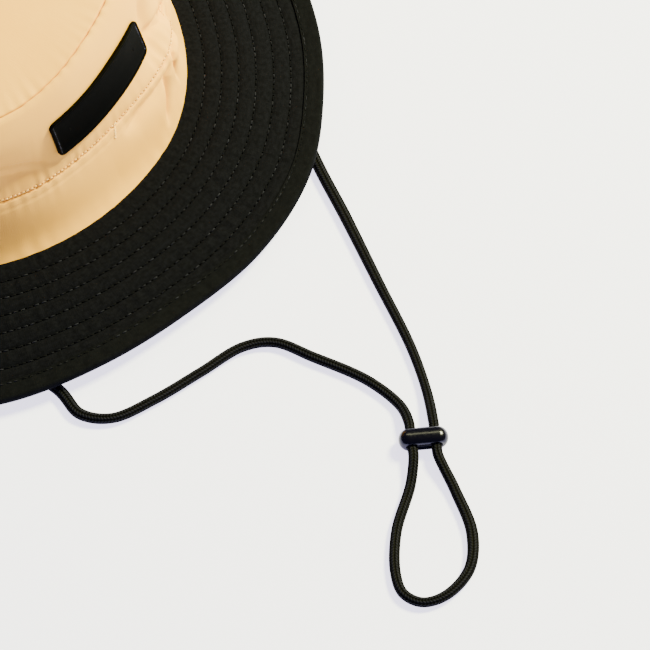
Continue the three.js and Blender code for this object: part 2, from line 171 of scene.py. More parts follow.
# Where the soft braid lies broader or narrower: metres along the cord, and share of its width.
CORD_BREADTHS = (
    (0.120, 1.00), (0.150, 1.19), (0.173, 1.19), (0.181, 1.15), (0.215, 1.01), (0.252, 0.94),
    (0.266, 1.00), (0.290, 1.00), (0.298, 1.03), (0.320, 1.15), (0.336, 1.02), (0.351, 0.92),
    (0.375, 1.04), (0.412, 1.00), (0.434, 1.00), (0.467, 1.04), (0.523, 0.97), (0.560, 1.00),
    (0.572, 1.14), (0.583, 1.18), (0.610, 1.00),
)
LOCK_CENTRE = np.array((-0.0325, -0.2342, 0.00375))
LOCK_TURN = radians(-51)
LOCK_MOUTH = 0.0032
LOCK_HOLE_SPACING = 0.0087
LOCK_STRAIGHT = 0.007
LEFT_STRAND = (
    (0.0965, -0.0043, 0.008), (0.0978, -0.018, 0.0046), (0.0998, -0.034, 0.002),
    (0.098, -0.058, 0.00175), (0.084, -0.09, 0.00175), (0.0482, -0.1361, 0.00175),
    (0.0333, -0.1586, 0.00175), (0.0155, -0.1845, 0.00175), (-0.0016, -0.2095, 0.00175),
    (-0.0142, -0.2241, 0.002),
)
LOOP = (
    (-0.0434, -0.2544, 0.0019), (-0.0546, -0.2683, 0.00175), (-0.0675, -0.2751, 0.00175),
    (-0.0806, -0.2736, 0.00175), (-0.0873, -0.2681, 0.00175), (-0.0879, -0.2609, 0.00175),
    (-0.0826, -0.2543, 0.00175), (-0.0686, -0.2458, 0.00175), (-0.05, -0.2399, 0.002),
)
RIGHT_STRAND = (
    (-0.0246, -0.2194, 0.002), (-0.022, -0.204, 0.00175), (-0.0244, -0.182, 0.00175),
    (-0.0268, -0.167, 0.00175), (-0.0346, -0.1585, 0.00175), (-0.0518, -0.1517, 0.00175),
    (-0.0704, -0.1442, 0.00175), (-0.085, -0.1358, 0.00175), (-0.0897, -0.1254, 0.00175),
    (-0.0856, -0.1121, 0.00175), (-0.088, -0.058, 0.0019), (-0.0974, -0.022, 0.0042),
    (-0.0965, -0.0043, 0.008),
)


def lock_point(across, along, up=0.0):
    """Point of the lock: across its two holes, along them, and up from its middle."""
    x = across * cos(LOCK_TURN) - along * sin(LOCK_TURN)
    y = across * sin(LOCK_TURN) + along * cos(LOCK_TURN)
    return LOCK_CENTRE + np.array((x, y, up))


def through_lock(hole, heading):
    """Straight way through one hole, away from the crown (1) or back to it (-1)."""
    across = hole * LOCK_HOLE_SPACING / 2
    stops = (LOCK_STRAIGHT, LOCK_MOUTH, -LOCK_MOUTH, -LOCK_STRAIGHT)
    return [tuple(lock_point(across, heading * stop)) for stop in stops]


def smooth_line(points, spacing):
    """Even points on a smooth curve through a route, on centripetal Catmull-Rom stretches."""
    points = np.array(points)
    first = 2 * points[0] - points[1]
    last = 2 * points[-1] - points[-2]
    padded = np.vstack([first, points, last])
    fine = []
    for start in range(len(points) - 1):
        p0, p1, p2, p3 = padded[start:start + 4]
        t1 = np.linalg.norm(p1 - p0) ** 0.5
        t2 = t1 + np.linalg.norm(p2 - p1) ** 0.5
        t3 = t2 + np.linalg.norm(p3 - p2) ** 0.5
        t = np.linspace(t1, t2, CORD_STRETCH_STEPS, endpoint=False)[:, None]
        a1 = ((t1 - t) * p0 + t * p1) / t1
        a2 = ((t2 - t) * p1 + (t - t1) * p2) / (t2 - t1)
        a3 = ((t3 - t) * p2 + (t - t2) * p3) / (t3 - t2)
        b1 = ((t2 - t) * a1 + t * a2) / t2
        b2 = ((t3 - t) * a2 + (t - t1) * a3) / (t3 - t1)
        fine.append(((t2 - t) * b1 + (t - t1) * b2) / (t2 - t1))
    fine = np.vstack([*fine, points[-1:]])
    travelled = np.concatenate([[0], np.cumsum(np.linalg.norm(np.diff(fine, axis=0), axis=1))])
    stops = np.linspace(0, travelled[-1], ceil(travelled[-1] / spacing) + 1)
    return np.stack([np.interp(stops, travelled, fine[:, axis]) for axis in range(3)], axis=1)


def line_length(points):
    """Length of a line through points."""
    return float(np.linalg.norm(np.diff(points, axis=0), axis=1).sum())


def unit(vectors):
    """Vectors brought to length one."""
    return vectors / np.linalg.norm(vectors, axis=-1, keepdims=True)


def grid_faces(columns, rows, round_columns=False, round_rows=False):
    """Quads of a grid of points, columns by rows, closed on itself either way if asked."""
    last_column = columns if round_columns else columns - 1
    last_row = rows if round_rows else rows - 1
    column = np.arange(last_column)[:, None]
    row = np.arange(last_row)[None, :]
    here = column * rows
    beside = (column + 1) % columns * rows
    above = (row + 1) % rows
    corners = [here + row, beside + row, beside + above, here + above]
    return np.stack(corners, axis=-1).reshape(-1, 4)


def grid_uv(u, v):
    """Cloth coordinates of those quads, from where the columns and the rows lie on the cloth."""
    u = u[:, None]
    v = v[None, :]
    corners = [(u[:-1], v[:, :-1]), (u[1:], v[:, :-1]), (u[1:], v[:, 1:]), (u[:-1], v[:, 1:])]
    uv = np.stack([np.stack(np.broadcast_arrays(*pair), axis=-1) for pair in corners], axis=2)
    return uv.reshape(-1, 2)


def add_piece(name, points, faces, material, uv=None):
    """A smooth-shaded mesh that rides on the hat, with its cloth coordinates if it has any."""
    mesh = bpy.data.meshes.new(name)
    mesh.from_pydata(np.asarray(points).tolist(), [], faces)
    mesh.polygons.foreach_set("use_smooth", [True] * len(mesh.polygons))
    if uv is not None:
        layer = mesh.uv_layers.new(name="cloth")
        layer.data.foreach_set("uv", np.asarray(uv, dtype=np.float32).ravel())
    mesh.materials.append(material)
    piece = add_object(name, mesh)
    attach(piece, "root")
    return piece


def plug(socket, value):
    """Feed a shader socket from another node's socket, or give it a fixed value."""
    if isinstance(value, bpy.types.NodeSocket):
        socket.id_data.links.new(value, socket)
    else:
        socket.default_value = value


def new_node(material, kind, **inputs):
    """A shader node with some of its sockets filled in."""
    node = material.node_tree.nodes.new(kind)
    for name, value in inputs.items():
        plug(node.inputs[name.replace("_", " ")], value)
    return node


def cloth_place(material):
    """Where a point lies on the flat cloth, in metres."""
    place = new_node(material, "ShaderNodeUVMap")
    place.uv_map = "cloth"
    return place.outputs["UV"]


def maths(material, operation, *values):
    """Output of one Math node, whose inputs are sockets or values."""
    node = material.node_tree.nodes.new("ShaderNodeMath")
    node.operation = operation
    for socket, value in zip(node.inputs, values):
        plug(socket, value)
    return node.outputs["Value"]


def noise(material, place, scale, detail, stretch=None):
    """Cloudy noise, with a number of clouds to the metre, stretched along an axis if asked."""
    if stretch:
        stretched = new_node(material, "ShaderNodeMapping", Vector=place, Scale=stretch)
        place = stretched.outputs["Vector"]
    clouds = new_node(material, "ShaderNodeTexNoise", Vector=place, Scale=scale, Detail=detail)
    return clouds.outputs["Fac"]


def add_bump(material, shader, height, strength, depth):
    """Fine relief on a shader."""
    bump = new_node(material, "ShaderNodeBump", Height=height, Strength=strength, Distance=depth)
    plug(shader.inputs["Normal"], bump.outputs["Normal"])


def add_tones(material, shader, share, low, high, low_end=0.0, high_end=1.0):
    """Colour of a shader, going from a low to a high tone as a share rises between two ends."""
    tones = new_node(material, "ShaderNodeValToRGB", Fac=share)
    stops = zip(tones.color_ramp.elements, (low_end, high_end), (low, high))
    for element, position, tone in stops:
        element.position = position
        element.color = (*tone, 1)
    plug(shader.inputs["Base Color"], tones.outputs["Color"])


def braid_material():
    """Black polyester yarn: slanting yarns on every rib, fine fibres, a faint sheen, and shade
    painted into the grooves.
    """
    material, shader = new_material("black_braid", CORD_LIT_TONE, roughness=0.5, gloss=0.02)
    place = cloth_place(material)
    apart = new_node(material, "ShaderNodeSeparateXYZ", Vector=place)
    ribs = maths(material, "DIVIDE", apart.outputs["Y"], pi * CORD_WIDTH / CORD_RIBS)
    across_rib = maths(material, "PINGPONG", ribs, 1.0)
    slant = maths(material, "MULTIPLY", across_rib, CORD_YARN_SLANT)
    yarns = maths(material, "DIVIDE", apart.outputs["X"], CORD_YARN_PITCH)
    turn = maths(material, "MULTIPLY", maths(material, "ADD", yarns, slant), 2 * pi)
    yarn_height = maths(material, "SINE", turn)
    fibres = noise(material, place, CORD_FIBRES, 1.0, stretch=(CORD_FIBRE_STRETCH, 1.0, 1.0))
    height = maths(material, "MULTIPLY_ADD", yarn_height, CORD_YARN_HEIGHT, fibres)
    add_bump(material, shader, height, 1.0, CORD_BUMP)
    # Painted shade and light: the colour darkens down in the grooves between the ribs and the
    # yarns and lightens on their crowns; the fibre noise adds a random tone.
    rib_crown = maths(material, "MULTIPLY", maths(material, "PINGPONG", ribs, 0.5), 2.0)
    painted_groove_shade = maths(material, "POWER", rib_crown, CORD_GROOVE_SHADE)
    painted_light_and_shade = maths(material, "MULTIPLY", height, painted_groove_shade)
    low_end, high_end = CORD_SHADE_ENDS
    share = new_node(
        material, "ShaderNodeMapRange", Value=painted_light_and_shade, From_Min=low_end, From_Max=high_end
    )
    add_tones(material, shader, share.outputs["Result"], CORD_SHADED_TONE, CORD_LIT_TONE)
    return material


def rib_relief(turn):
    """Rounding of the braid's ribs round its section, with a narrow groove between them."""
    across_rib = (CORD_RIBS * turn / (2 * pi)) % 1 - 0.5
    return -CORD_RIB_RELIEF * (2 * np.abs(across_rib)) ** CORD_RIB_SHARPNESS


def add_cord(name, centres, material):
    """Braided tube along a centreline, closed at its two ends."""
    count = len(centres)
    travel = np.linspace(0, line_length(centres), count)
    ahead = unit(np.gradient(centres, axis=0))
    beside = unit(np.cross(ahead, (0, 0, 1)))
    above = np.cross(beside, ahead)
    turns = np.arange(CORD_SIDES) * 2 * pi / CORD_SIDES
    half_widths = CORD_WIDTH / 2 * np.interp(travel, *zip(*CORD_BREADTHS))
    reach = (half_widths[:, None] + rib_relief(turns)) * np.cos(turns)
    across = reach[:, :, None] * beside[:, None]
    up = ((CORD_HEIGHT / 2 + rib_relief(turns)) * np.sin(turns))[:, None] * above[:, None]
    points = (centres[:, None] + across + up).reshape(-1, 3)
    start_cap = list(range(CORD_SIDES))
    end_cap = list(range(count * CORD_SIDES - 1, (count - 1) * CORD_SIDES - 1, -1))
    faces = grid_faces(count, CORD_SIDES, round_rows=True).tolist() + [start_cap, end_cap]
    around = np.arange(CORD_SIDES + 1) * CORD_WIDTH * pi / CORD_SIDES
    uv = np.vstack([grid_uv(travel, around), np.zeros((2 * CORD_SIDES, 2))])
    return add_piece(name, points, faces, material, uv)


cord_route = [*LEFT_STRAND, *through_lock(1, 1), *LOOP, *through_lock(-1, -1), *RIGHT_STRAND]
cord_line = smooth_line(cord_route, CORD_RING_SPACING)
cord_line[:, 2] = np.maximum(cord_line[:, 2], CORD_HEIGHT / 2)
chin_cord = add_cord("chin_cord_braid", cord_line, braid_material())
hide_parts("chin_cord")

# Cord lock. A glossy moulded pebble of black plastic with two round holes, flared at both ends,
# and a shallow pocket moulded between them on each side. It grips the doubled cord by friction
# and slides along it.
LOCK_WIDTH = 0.0179
LOCK_LENGTH = 0.0070
LOCK_HEIGHT = 0.0074
LOCK_END_INSET = 0.0018
LOCK_BARREL = 0.25
LOCK_HOLE_RADIUS = 0.0019
LOCK_MOUTH_RADIUS = 0.0026
LOCK_MOUTH_DEPTH = 0.0012
LOCK_POCKET_DEPTH = 0.0011
LOCK_POCKET_HEIGHT = 0.0036
LOCK_ROUND_STEPS = 24
LOCK_LENGTH_STEPS = 22
LOCK_MOUTH_STEPS = 8
LOCK_HOLE_SIDES = 40
LOCK_SHARP_ANGLE = radians(38)
# The pocket's floor is rounded: depth from its floor, and how far the bar is drawn in there.
LOCK_POCKET_STOPS = ((0.0, 0.0006), (0.0003, 0.0002), (0.0007, 0.0), (LOCK_LENGTH, 0.0))


def stadium(half_straight, radius, steps):
    """Outline of two half circles joined by straight sides, as points (across, up)."""
    points = []
    for middle, start in ((half_straight, -pi / 2), (-half_straight, pi / 2)):
        turns = [start + pi * step / steps for step in range(steps + 1)]
        points += [(middle + radius * cos(turn), radius * sin(turn)) for turn in turns]
    return points


def barrel(across):
    """How long the lock is at a distance from its middle, against its length at the holes."""
    half_hole_spacing = LOCK_HOLE_SPACING / 2
    return 1 + LOCK_BARREL * (half_hole_spacing**2 - across**2) / (LOCK_WIDTH / 2) ** 2


def loft(loops):
    """Closed shell through loops of points, with its faces outward."""
    shell = bmesh.new()
    rings = [[shell.verts.new(point) for point in loop] for loop in loops]
    for lower, upper in zip(rings, rings[1:]):
        for index, corner in enumerate(lower):
            other = (index + 1) % len(lower)
            shell.faces.new((corner, lower[other], upper[other], upper[index]))
    shell.faces.new(rings[0][::-1])
    shell.faces.new(rings[-1])
    bmesh.ops.recalc_face_normals(shell, faces=shell.faces)
    return shell


def lock_body():
    """Closed pebble, its length along +Y, longest in the middle, swept over a full round edge."""
    half_straight = (LOCK_WIDTH - LOCK_HEIGHT) / 2
    loops = []
    for step in range(LOCK_LENGTH_STEPS + 1):
        share = -cos(pi * step / LOCK_LENGTH_STEPS)
        inset = LOCK_END_INSET * (1 - (1 - share**2) ** 0.5)
        along = LOCK_LENGTH / 2 * share
        section = stadium(half_straight, LOCK_HEIGHT / 2 - inset, LOCK_ROUND_STEPS)
        loops.append([(across, along * barrel(across), up) for across, up in section])
    return loft(loops)


def hole_cutter(across):
    """Waisted pin that cuts one hole and its two flared mouths."""
    profile = [(-LOCK_LENGTH, LOCK_MOUTH_RADIUS)]
    for step in range(LOCK_MOUTH_STEPS + 1):
        share = step / LOCK_MOUTH_STEPS
        flare = (LOCK_MOUTH_RADIUS - LOCK_HOLE_RADIUS) * (1 - share) ** 2
        profile.append((-LOCK_LENGTH / 2 + LOCK_MOUTH_DEPTH * share, LOCK_HOLE_RADIUS + flare))
    profile += [(-along, radius) for along, radius in reversed(profile)]
    turns = [2 * pi * side / LOCK_HOLE_SIDES for side in range(LOCK_HOLE_SIDES)]
    return loft([
        [(across + radius * cos(turn), along, radius * sin(turn)) for turn in turns]
        for along, radius in profile
    ])


def pocket_cutter(end):
    """Rounded bar that cuts the pocket between the holes at one end."""
    half_straight = LOCK_HOLE_SPACING / 2 - LOCK_POCKET_HEIGHT / 4
    floor_at = end * (LOCK_LENGTH / 2 - LOCK_POCKET_DEPTH)
    loops = []
    for depth, inset in LOCK_POCKET_STOPS:
        bar = stadium(half_straight, LOCK_POCKET_HEIGHT / 2 - inset, LOCK_ROUND_STEPS // 2)
        loops.append([(across, floor_at + end * depth, up) for across, up in bar])
    return loft(loops)


def to_object(name, built):
    """Blender object from a bmesh, which is freed."""
    mesh = bpy.data.meshes.new(name)
    built.to_mesh(mesh)
    built.free()
    return add_object(name, mesh)


def cut_away(body, cutters):
    """Cut each cutter out of a body, and leave the body with the plain result."""
    for cutter in cutters:
        cut = body.modifiers.new("cut", "BOOLEAN")
        cut.operation = "DIFFERENCE"
        cut.solver = "EXACT"
        cut.object = cutter
    bpy.context.view_layer.update()
    result = body.evaluated_get(bpy.context.evaluated_depsgraph_get())
    finished = bpy.data.meshes.new_from_object(result)
    body.modifiers.clear()
    body.data = finished
    for cutter in cutters:
        bpy.data.objects.remove(cutter)


def sharpen(mesh, angle):
    """Shade a mesh smooth, and keep the edges that turn more than an angle sharp."""
    work = bmesh.new()
    work.from_mesh(mesh)
    for face in work.faces:
        face.smooth = True
    for edge in work.edges:
        edge.smooth = len(edge.link_faces) == 2 and edge.calc_face_angle(0) < angle
    work.to_mesh(mesh)
    work.free()


def moulded_material(name, colour, gloss, grain, wear):
    """Moulded black plastic or rubber, with a fine grain and a roughness that drifts with wear.

    The grain is its noise's scale and detail, and the bump's strength and depth. The wear is its
    noise's scale and detail, and the least and the greatest roughness.
    """
    grain_scale, grain_detail, strength, depth = grain
    wear_scale, wear_detail, least, greatest = wear
    material, shader = new_material(name, colour, least, gloss)
    place = new_node(material, "ShaderNodeTexCoord").outputs["Object"]
    add_bump(material, shader, noise(material, place, grain_scale, grain_detail), strength, depth)
    worn = noise(material, place, wear_scale, wear_detail)
    rough = new_node(material, "ShaderNodeMapRange", Value=worn, To_Min=least, To_Max=greatest)
    plug(shader.inputs["Roughness"], rough.outputs["Result"])
    return material, shader


lock = to_object("cord_lock_pebble", lock_body())
half_spacing = LOCK_HOLE_SPACING / 2
pins = [to_object("hole_pin", hole_cutter(across)) for across in (-half_spacing, half_spacing)]
bars = [to_object("pocket_bar", pocket_cutter(end)) for end in (-1, 1)]
cut_away(lock, pins + bars)
sharpen(lock.data, LOCK_SHARP_ANGLE)
for corner in lock.data.vertices:
    corner.co = lock_point(*corner.co)
lock.data.update()
lock_plastic, lock_shader = moulded_material(
    "lock_plastic", (0.001, 0.0009, 0.0009), 0.36, grain=(260.0, 1.0, 0.25, 0.0003),
    wear=(900.0, 4.0, 0.1, 0.3),
)
lock_shader.inputs["Specular Tint"].default_value = (0.50, 0.50, 1.0, 1)
lock.data.materials.append(lock_plastic)
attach(lock, "root")
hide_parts("cord_lock")

# Cord tabs. A short length of black tape is folded over each end of the cord and sewn under
# the brim at the ear, with a row of stitches through it.
TAB_ROUNDING = 0.0006
TAB_STITCHES = 4
TAB_STITCH_LENGTH = 0.0011
TAB_STITCH_MARGIN = 0.0015
TAB_SIDES = 32
TAB_ROWS = 9
TAB_ROW_TURN = pi - 0.04
TAB_SQUARENESS = 0.25
THREAD_RADIUS = 0.00024
THREAD_STRETCH = 0.14
THREAD_TURNS = np.arange(6) * pi / 3
# Some stitches are coloured lighter as painted glints, over patches of this reach and between
# these ends of the noise.
STITCH_GLINT_REACH = 0.0026
STITCH_GLINT_ENDS = (0.45, 0.72)
CLOTH_TONE_ENDS = (0.35, 0.65)
# An arched stitch: share of its length, and its lift and girth there in radii of the thread.
STITCH_ARCH = (
    (-0.5, -1.0, 0.6), (-0.34, 0.15, 0.95), (0.0, 0.55, 1.0), (0.34, 0.15, 0.95),
    (0.5, -1.0, 0.6),
)
HOLE_RISE = 0.00006
HOLE_SINK = 0.00012


def cloth_material(name, low, high, patch, thread, relief, roughness, gloss):
    """Woven cloth: crossed fine threads as bump, and a colour that drifts over small patches."""
    material, shader = new_material(name, high, roughness, gloss)
    place = cloth_place(material)
    threads = [
        noise(material, place, 1 / thread, 1.0, stretch)
        for stretch in ((1.0, THREAD_STRETCH, 1.0), (THREAD_STRETCH, 1.0, 1.0))
    ]
    add_bump(material, shader, maths(material, "MAXIMUM", *threads), 1.0, relief)
    drift = noise(material, place, 1 / patch, 4.0)
    add_tones(material, shader, drift, low, high, *CLOTH_TONE_ENDS)
    return material


def thread_material(name, low, high, roughness, gloss):
    """Sewing thread whose stitches differ a little in tone: the lighter ones are painted glints of
    light.
    """
    material, shader = new_material(name, high, roughness, gloss)
    place = new_node(material, "ShaderNodeTexCoord").outputs["Object"]
    shares = noise(material, place, 1 / STITCH_GLINT_REACH, 0.0)
    add_tones(material, shader, shares, low, high, *STITCH_GLINT_ENDS)
    return material


def add_needle_hole_shades(name, places, length, radius, material):
    """Dimples where the thread goes into the cloth, one past each stitch's end, dark with painted
    shade.
    """
    centres, along, outward = (np.asarray(part, dtype=float)[:, None] for part in places)
    turns = THREAD_TURNS[:, None]
    sides = len(THREAD_TURNS)
    middle = centres + 0.5 * length * along + HOLE_RISE * outward
    out = radius * np.cos(turns) * along + radius * np.sin(turns) * np.cross(along, outward)
    points = np.concatenate([middle, middle + out - HOLE_SINK * outward], axis=1)
    starts = range(0, len(centres) * (sides + 1), sides + 1)
    faces = [
        [start, start + 1 + (side + 1) % sides, start + 1 + side]
        for start in starts
        for side in range(sides)
    ]
    faces += [list(range(start + 1, start + 1 + sides)) for start in starts]
    return add_piece(name, points.reshape(-1, 3), faces, material)


def add_stitches(name, places, length, radius, material):
    """One short arched thread for each stitch, its two ends sunk in the cloth, as one mesh."""
    centres, along, outward = (np.asarray(part, dtype=float)[:, None, None] for part in places)
    sizes = np.array(STITCH_ARCH) * (length, radius, radius)
    stops, lifts, girths = sizes.T[:, :, None, None]
    turns = THREAD_TURNS[:, None]
    line = centres + stops * along + lifts * outward
    round_beside = girths * np.cos(turns) * np.cross(along, outward)
    points = line + round_beside + girths * np.sin(turns) * outward
    rows, sides = len(STITCH_ARCH), len(THREAD_TURNS)
    starts = np.arange(len(points))[:, None, None] * rows * sides
    quads = (grid_faces(rows, sides, round_rows=True)[None] + starts).reshape(-1, 4)
    near_cap = np.arange(sides)
    far_cap = near_cap[::-1] + (rows - 1) * sides
    caps = (np.stack([near_cap, far_cap])[None] + starts).reshape(-1, sides)
    faces = quads.tolist() + caps.tolist()
    return add_piece(name, points.reshape(-1, 3), faces, material)


binding_tape = cloth_material(
    "binding_tape", low=(0.0020, 0.0022, 0.0050), high=(0.0031, 0.0034, 0.0074), patch=0.0016,
    thread=0.00035, relief=0.00012, roughness=0.8, gloss=0.02,
)
black_thread = thread_material(
    "black_thread", low=(0.0026, 0.0027, 0.0060), high=(0.0135, 0.0140, 0.0330), roughness=0.6,
    gloss=0.02,
)
# The holes' black is painted shade: the shadow inside a needle hole.
needle_hole_shade, _ = new_material("needle_hole_shade", (0.0002, 0.0002, 0.0002), 1.0, 0.0)


def rounded_block(low, high, rounding):
    """Points and faces of a soft block: a ball pressed almost into the shape of its box."""
    rise = TAB_ROW_TURN * (np.arange(TAB_ROWS)[:, None] / (TAB_ROWS - 1) - 0.5)
    turn = 2 * pi * (np.arange(TAB_SIDES) + 0.5) / TAB_SIDES
    parts = (np.cos(rise) * np.cos(turn), np.cos(rise) * np.sin(turn), np.sin(rise))
    ball = np.stack(np.broadcast_arrays(*parts), axis=-1).reshape(-1, 3)
    reach = np.sign(ball) * np.abs(ball) ** TAB_SQUARENESS * ((high - low) / 2 - rounding)
    faces = grid_faces(TAB_ROWS, TAB_SIDES, round_rows=True)[:, ::-1].tolist()
    last_row = (TAB_ROWS - 1) * TAB_SIDES
    faces += [list(range(TAB_SIDES))[::-1], list(range(last_row, last_row + TAB_SIDES))]
    return (low + high) / 2 + reach + rounding * ball, faces


for tab_name in ("cord_tab_left", "cord_tab_right"):
    tab_low, tab_high = (np.array(corner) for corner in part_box(tab_name))
    tab_points, tab_faces = rounded_block(tab_low, tab_high, TAB_ROUNDING)
    tab_uv = np.array([tab_points[index][:2] for face in tab_faces for index in face])
    tab = add_piece(f"{tab_name}_tape", tab_points, tab_faces, binding_tape, tab_uv)
    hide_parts(tab_name)
    stitch_from, stitch_to = tab_low[1] + TAB_STITCH_MARGIN, tab_high[1] - TAB_STITCH_MARGIN
    tab_middle = (tab_low[0] + tab_high[0]) / 2
    stitch_at = [
        (tab_middle, y, tab_low[2]) for y in np.linspace(stitch_from, stitch_to, TAB_STITCHES)
    ]
    tab_places = (stitch_at, [(0, 1, 0)] * TAB_STITCHES, [(0, 0, -1)] * TAB_STITCHES)
    add_stitches(
        f"{tab_name}_stitches", tab_places, TAB_STITCH_LENGTH, THREAD_RADIUS, black_thread,
    )

# Brim. Two plies of black cotton, quilted together with six rings of stitches, so that the
# cloth dips at each ring and puckers between them. It stands on the table round the back and
# sides and lifts a little at the front, where the cord comes out.
FINE_FRONT = np.arange(-60, 60, 1 / 3)
COARSE_BACK = np.arange(60, 300, 0.5)
OUTLINE_COLUMNS = (
    "bearing", "seam_r", "mid_r", "mid_z", "tip_r", "tip_z", "edge_r", "edge_lift",
)
OUTLINE = np.array((
    (-150, 0.0932, 0.0850, 0.0390, 0.0735, 0.0785, 0.1441, 0.0000),
    (-120, 0.0928, 0.0860, 0.0385, 0.0745, 0.0775, 0.1446, 0.0000),
    (-90, 0.0922, 0.0855, 0.0390, 0.0750, 0.0765, 0.1444, 0.0000),
    (-60, 0.0924, 0.0848, 0.0395, 0.0745, 0.0765, 0.1444, 0.0010),
    (-45, 0.0923, 0.0843, 0.0400, 0.0740, 0.0765, 0.1442, 0.0038),
    (-30, 0.0921, 0.0828, 0.0400, 0.0732, 0.0770, 0.1414, 0.0052),
    (-15, 0.0920, 0.0806, 0.0400, 0.0705, 0.0785, 0.1402, 0.0050),
    (0, 0.0923, 0.0804, 0.0400, 0.0684, 0.0805, 0.1432, 0.0050),
    (15, 0.0928, 0.0818, 0.0400, 0.0682, 0.0820, 0.1450, 0.0052),
    (30, 0.0922, 0.0834, 0.0400, 0.0694, 0.0825, 0.1435, 0.0034),
    (45, 0.0912, 0.0838, 0.0405, 0.0710, 0.0825, 0.1440, 0.0005),
    (60, 0.0910, 0.0840, 0.0410, 0.0725, 0.0825, 0.1448, 0.0000),
    (90, 0.0916, 0.0850, 0.0410, 0.0740, 0.0820, 0.1444, 0.0000),
    (120, 0.0928, 0.0855, 0.0405, 0.0745, 0.0810, 0.1446, 0.0000),
    (150, 0.0934, 0.0850, 0.0400, 0.0740, 0.0800, 0.1441, 0.0000),
    (180, 0.0935, 0.0845, 0.0395, 0.0732, 0.0792, 0.1434, 0.0000),
))
BRIM_SEAM_HEIGHT = 0.014
BRIM_THICKNESS = 0.002
BRIM_DROOP = 0.0016
BRIM_TOE = 0.06
BRIM_TUCK = 0.0016
BINDING_WIDTH = 0.0074
BINDING_THICKNESS = 0.0036
BINDING_CLOTH = 0.0009
BINDING_SLACK = 0.0002
BRIM_THINNING = 0.0012
RESTING_WIDTH = 0.004
QUILT_ROWS = (0.125, 0.25, 0.375, 0.5, 0.63, 0.755)
QUILT_DIP = 0.00042
QUILT_DIP_WIDTH = 0.0007
QUILT_PUFF = 0.00028
QUILT_PUFF_WIDTH = 0.0019
QUILT_PUCKER = 0.00016
QUILT_PUCKER_WAVES = (70, 160)
QUILT_CHANNELS = 8
QUILT_STITCH_SUNK = 0.7
# Where the stations across the brim lie: out from the seam, about each row, in from the edge.
SEAM_STATIONS = np.array((-BRIM_TUCK, -0.0004, 0.0008, 0.0022))
ROW_STATIONS = 0.0029 * np.array((-1.0, -0.55, -0.3, -0.15, 0.0, 0.15, 0.3, 0.55, 1.0))
EDGE_STATIONS = np.array(
    (BINDING_WIDTH + 0.0014, BINDING_WIDTH, BINDING_WIDTH - 0.0012, 0.003, 0.0014)
)
STITCH_PITCH = 0.0027
STITCH_LENGTH = 0.0020
STITCH_JITTER = 0.08
STITCH_ASIDE = 0.5
STITCH_OUTWARDS = 0.003
NEEDLE_HOLE_RADIUS = 0.0004
UV_RADIUS = 0.1


def outline(column, bearing):
    """One outline column read at any bearings, on a smooth closed curve through its rows."""
    bearings = OUTLINE[:, 0]
    values = OUTLINE[:, OUTLINE_COLUMNS.index(column)]
    count = len(bearings)
    turned = (np.asarray(bearing, dtype=float) - bearings[0]) % 360 + bearings[0]
    row = np.searchsorted(bearings, turned, side="right") - 1

    def at(index):
        return bearings[index % count] + 360 * (index // count), values[index % count]

    (b0, v0), (b1, v1), (b2, v2), (b3, v3) = (at(row + offset) for offset in (-1, 0, 1, 2))
    span = b2 - b1
    share = (turned - b1) / span
    slope_here = (v2 - v0) / (b2 - b0) * span
    slope_next = (v3 - v1) / (b3 - b1) * span
    square = share**2
    cube = share**3
    here = v1 * (2 * cube - 3 * square + 1) + slope_here * (cube - 2 * square + share)
    return here + v2 * (3 * square - 2 * cube) + slope_next * (cube - square)


def to_points(bearing, radius, height):
    """Points at bearings, radii and heights, as an array with x, y, z last."""
    turn = np.radians(bearing)
    parts = (radius * np.sin(turn), -radius * np.cos(turn), height)
    return np.stack(np.broadcast_arrays(*parts), axis=-1)


def ripples(bearing, seed, fewest, most, count=7):
    """Waves round the hat, a few at random between two numbers of waves to the turn."""
    dice = np.random.default_rng(seed)
    waves = dice.integers(fewest, most, count)
    phases = dice.uniform(0, 2 * pi, count)
    turn = np.radians(np.asarray(bearing, dtype=float))[..., None]
    return np.sin(waves * turn + phases).sum(axis=-1) / count**0.5


def brim_middle(bearing, radius):
    """Height half way through the brim."""
    flat_from = outline("edge_r", bearing) - RESTING_WIDTH
    share = np.clip((flat_from - radius) / (flat_from - outline("seam_r", bearing)), 0, 1.1)
    eased = share**2 * (1 + BRIM_TOE) / (share + BRIM_TOE)
    low = np.maximum(0, outline("edge_lift", bearing)) + BINDING_THICKNESS / 2
    high = BRIM_SEAM_HEIGHT - BRIM_THICKNESS / 2
    droop = BRIM_DROOP * np.sin(pi * np.minimum(1, share)) * eased
    return low + (high - low) * eased + droop


def bell(distance, width):
    """Falls off smoothly from 1 on both sides of a line."""
    return np.exp(-((distance / width) ** 2))


def quilting(bearing, radius):
    """How far the quilted face stands off the flat ply: dips, puffs and puckers."""
    seam = outline("seam_r", bearing)
    width = outline("edge_r", bearing) - seam
    dip = 0
    held = 0
    for row in QUILT_ROWS:
        apart = radius - seam - row * width
        dip = dip + bell(apart, QUILT_DIP_WIDTH)
        held = np.maximum(held, bell(apart, QUILT_PUFF_WIDTH))
    channel = np.floor((radius - seam) / width * QUILT_CHANNELS).astype(int)
    pucker = 0
    for index in range(QUILT_CHANNELS):
        waves = ripples(bearing, 40 + index, *QUILT_PUCKER_WAVES)
        pucker = np.where(channel == index, waves, pucker)
    return (QUILT_PUFF + QUILT_PUCKER * pucker) * (1 - held) - QUILT_DIP * dip


def brim_face(bearing, radius, side):
    """Height of the upper (1) or lower (-1) face, thinned where the binding folds over it."""
    edge = outline("edge_r", bearing)
    under_tape = np.clip((radius - edge + BINDING_WIDTH) / BRIM_THINNING + 0.5, 0, 1)
    half = BRIM_THICKNESS / 2 + quilting(bearing, radius) * (1 - under_tape)
    tape_half = BINDING_THICKNESS / 2 - BINDING_CLOTH - BINDING_SLACK
    half = half + (tape_half - half) * under_tape
    seam = outline("seam_r", bearing)
    return brim_middle(bearing, np.maximum(radius, seam)) + side * half


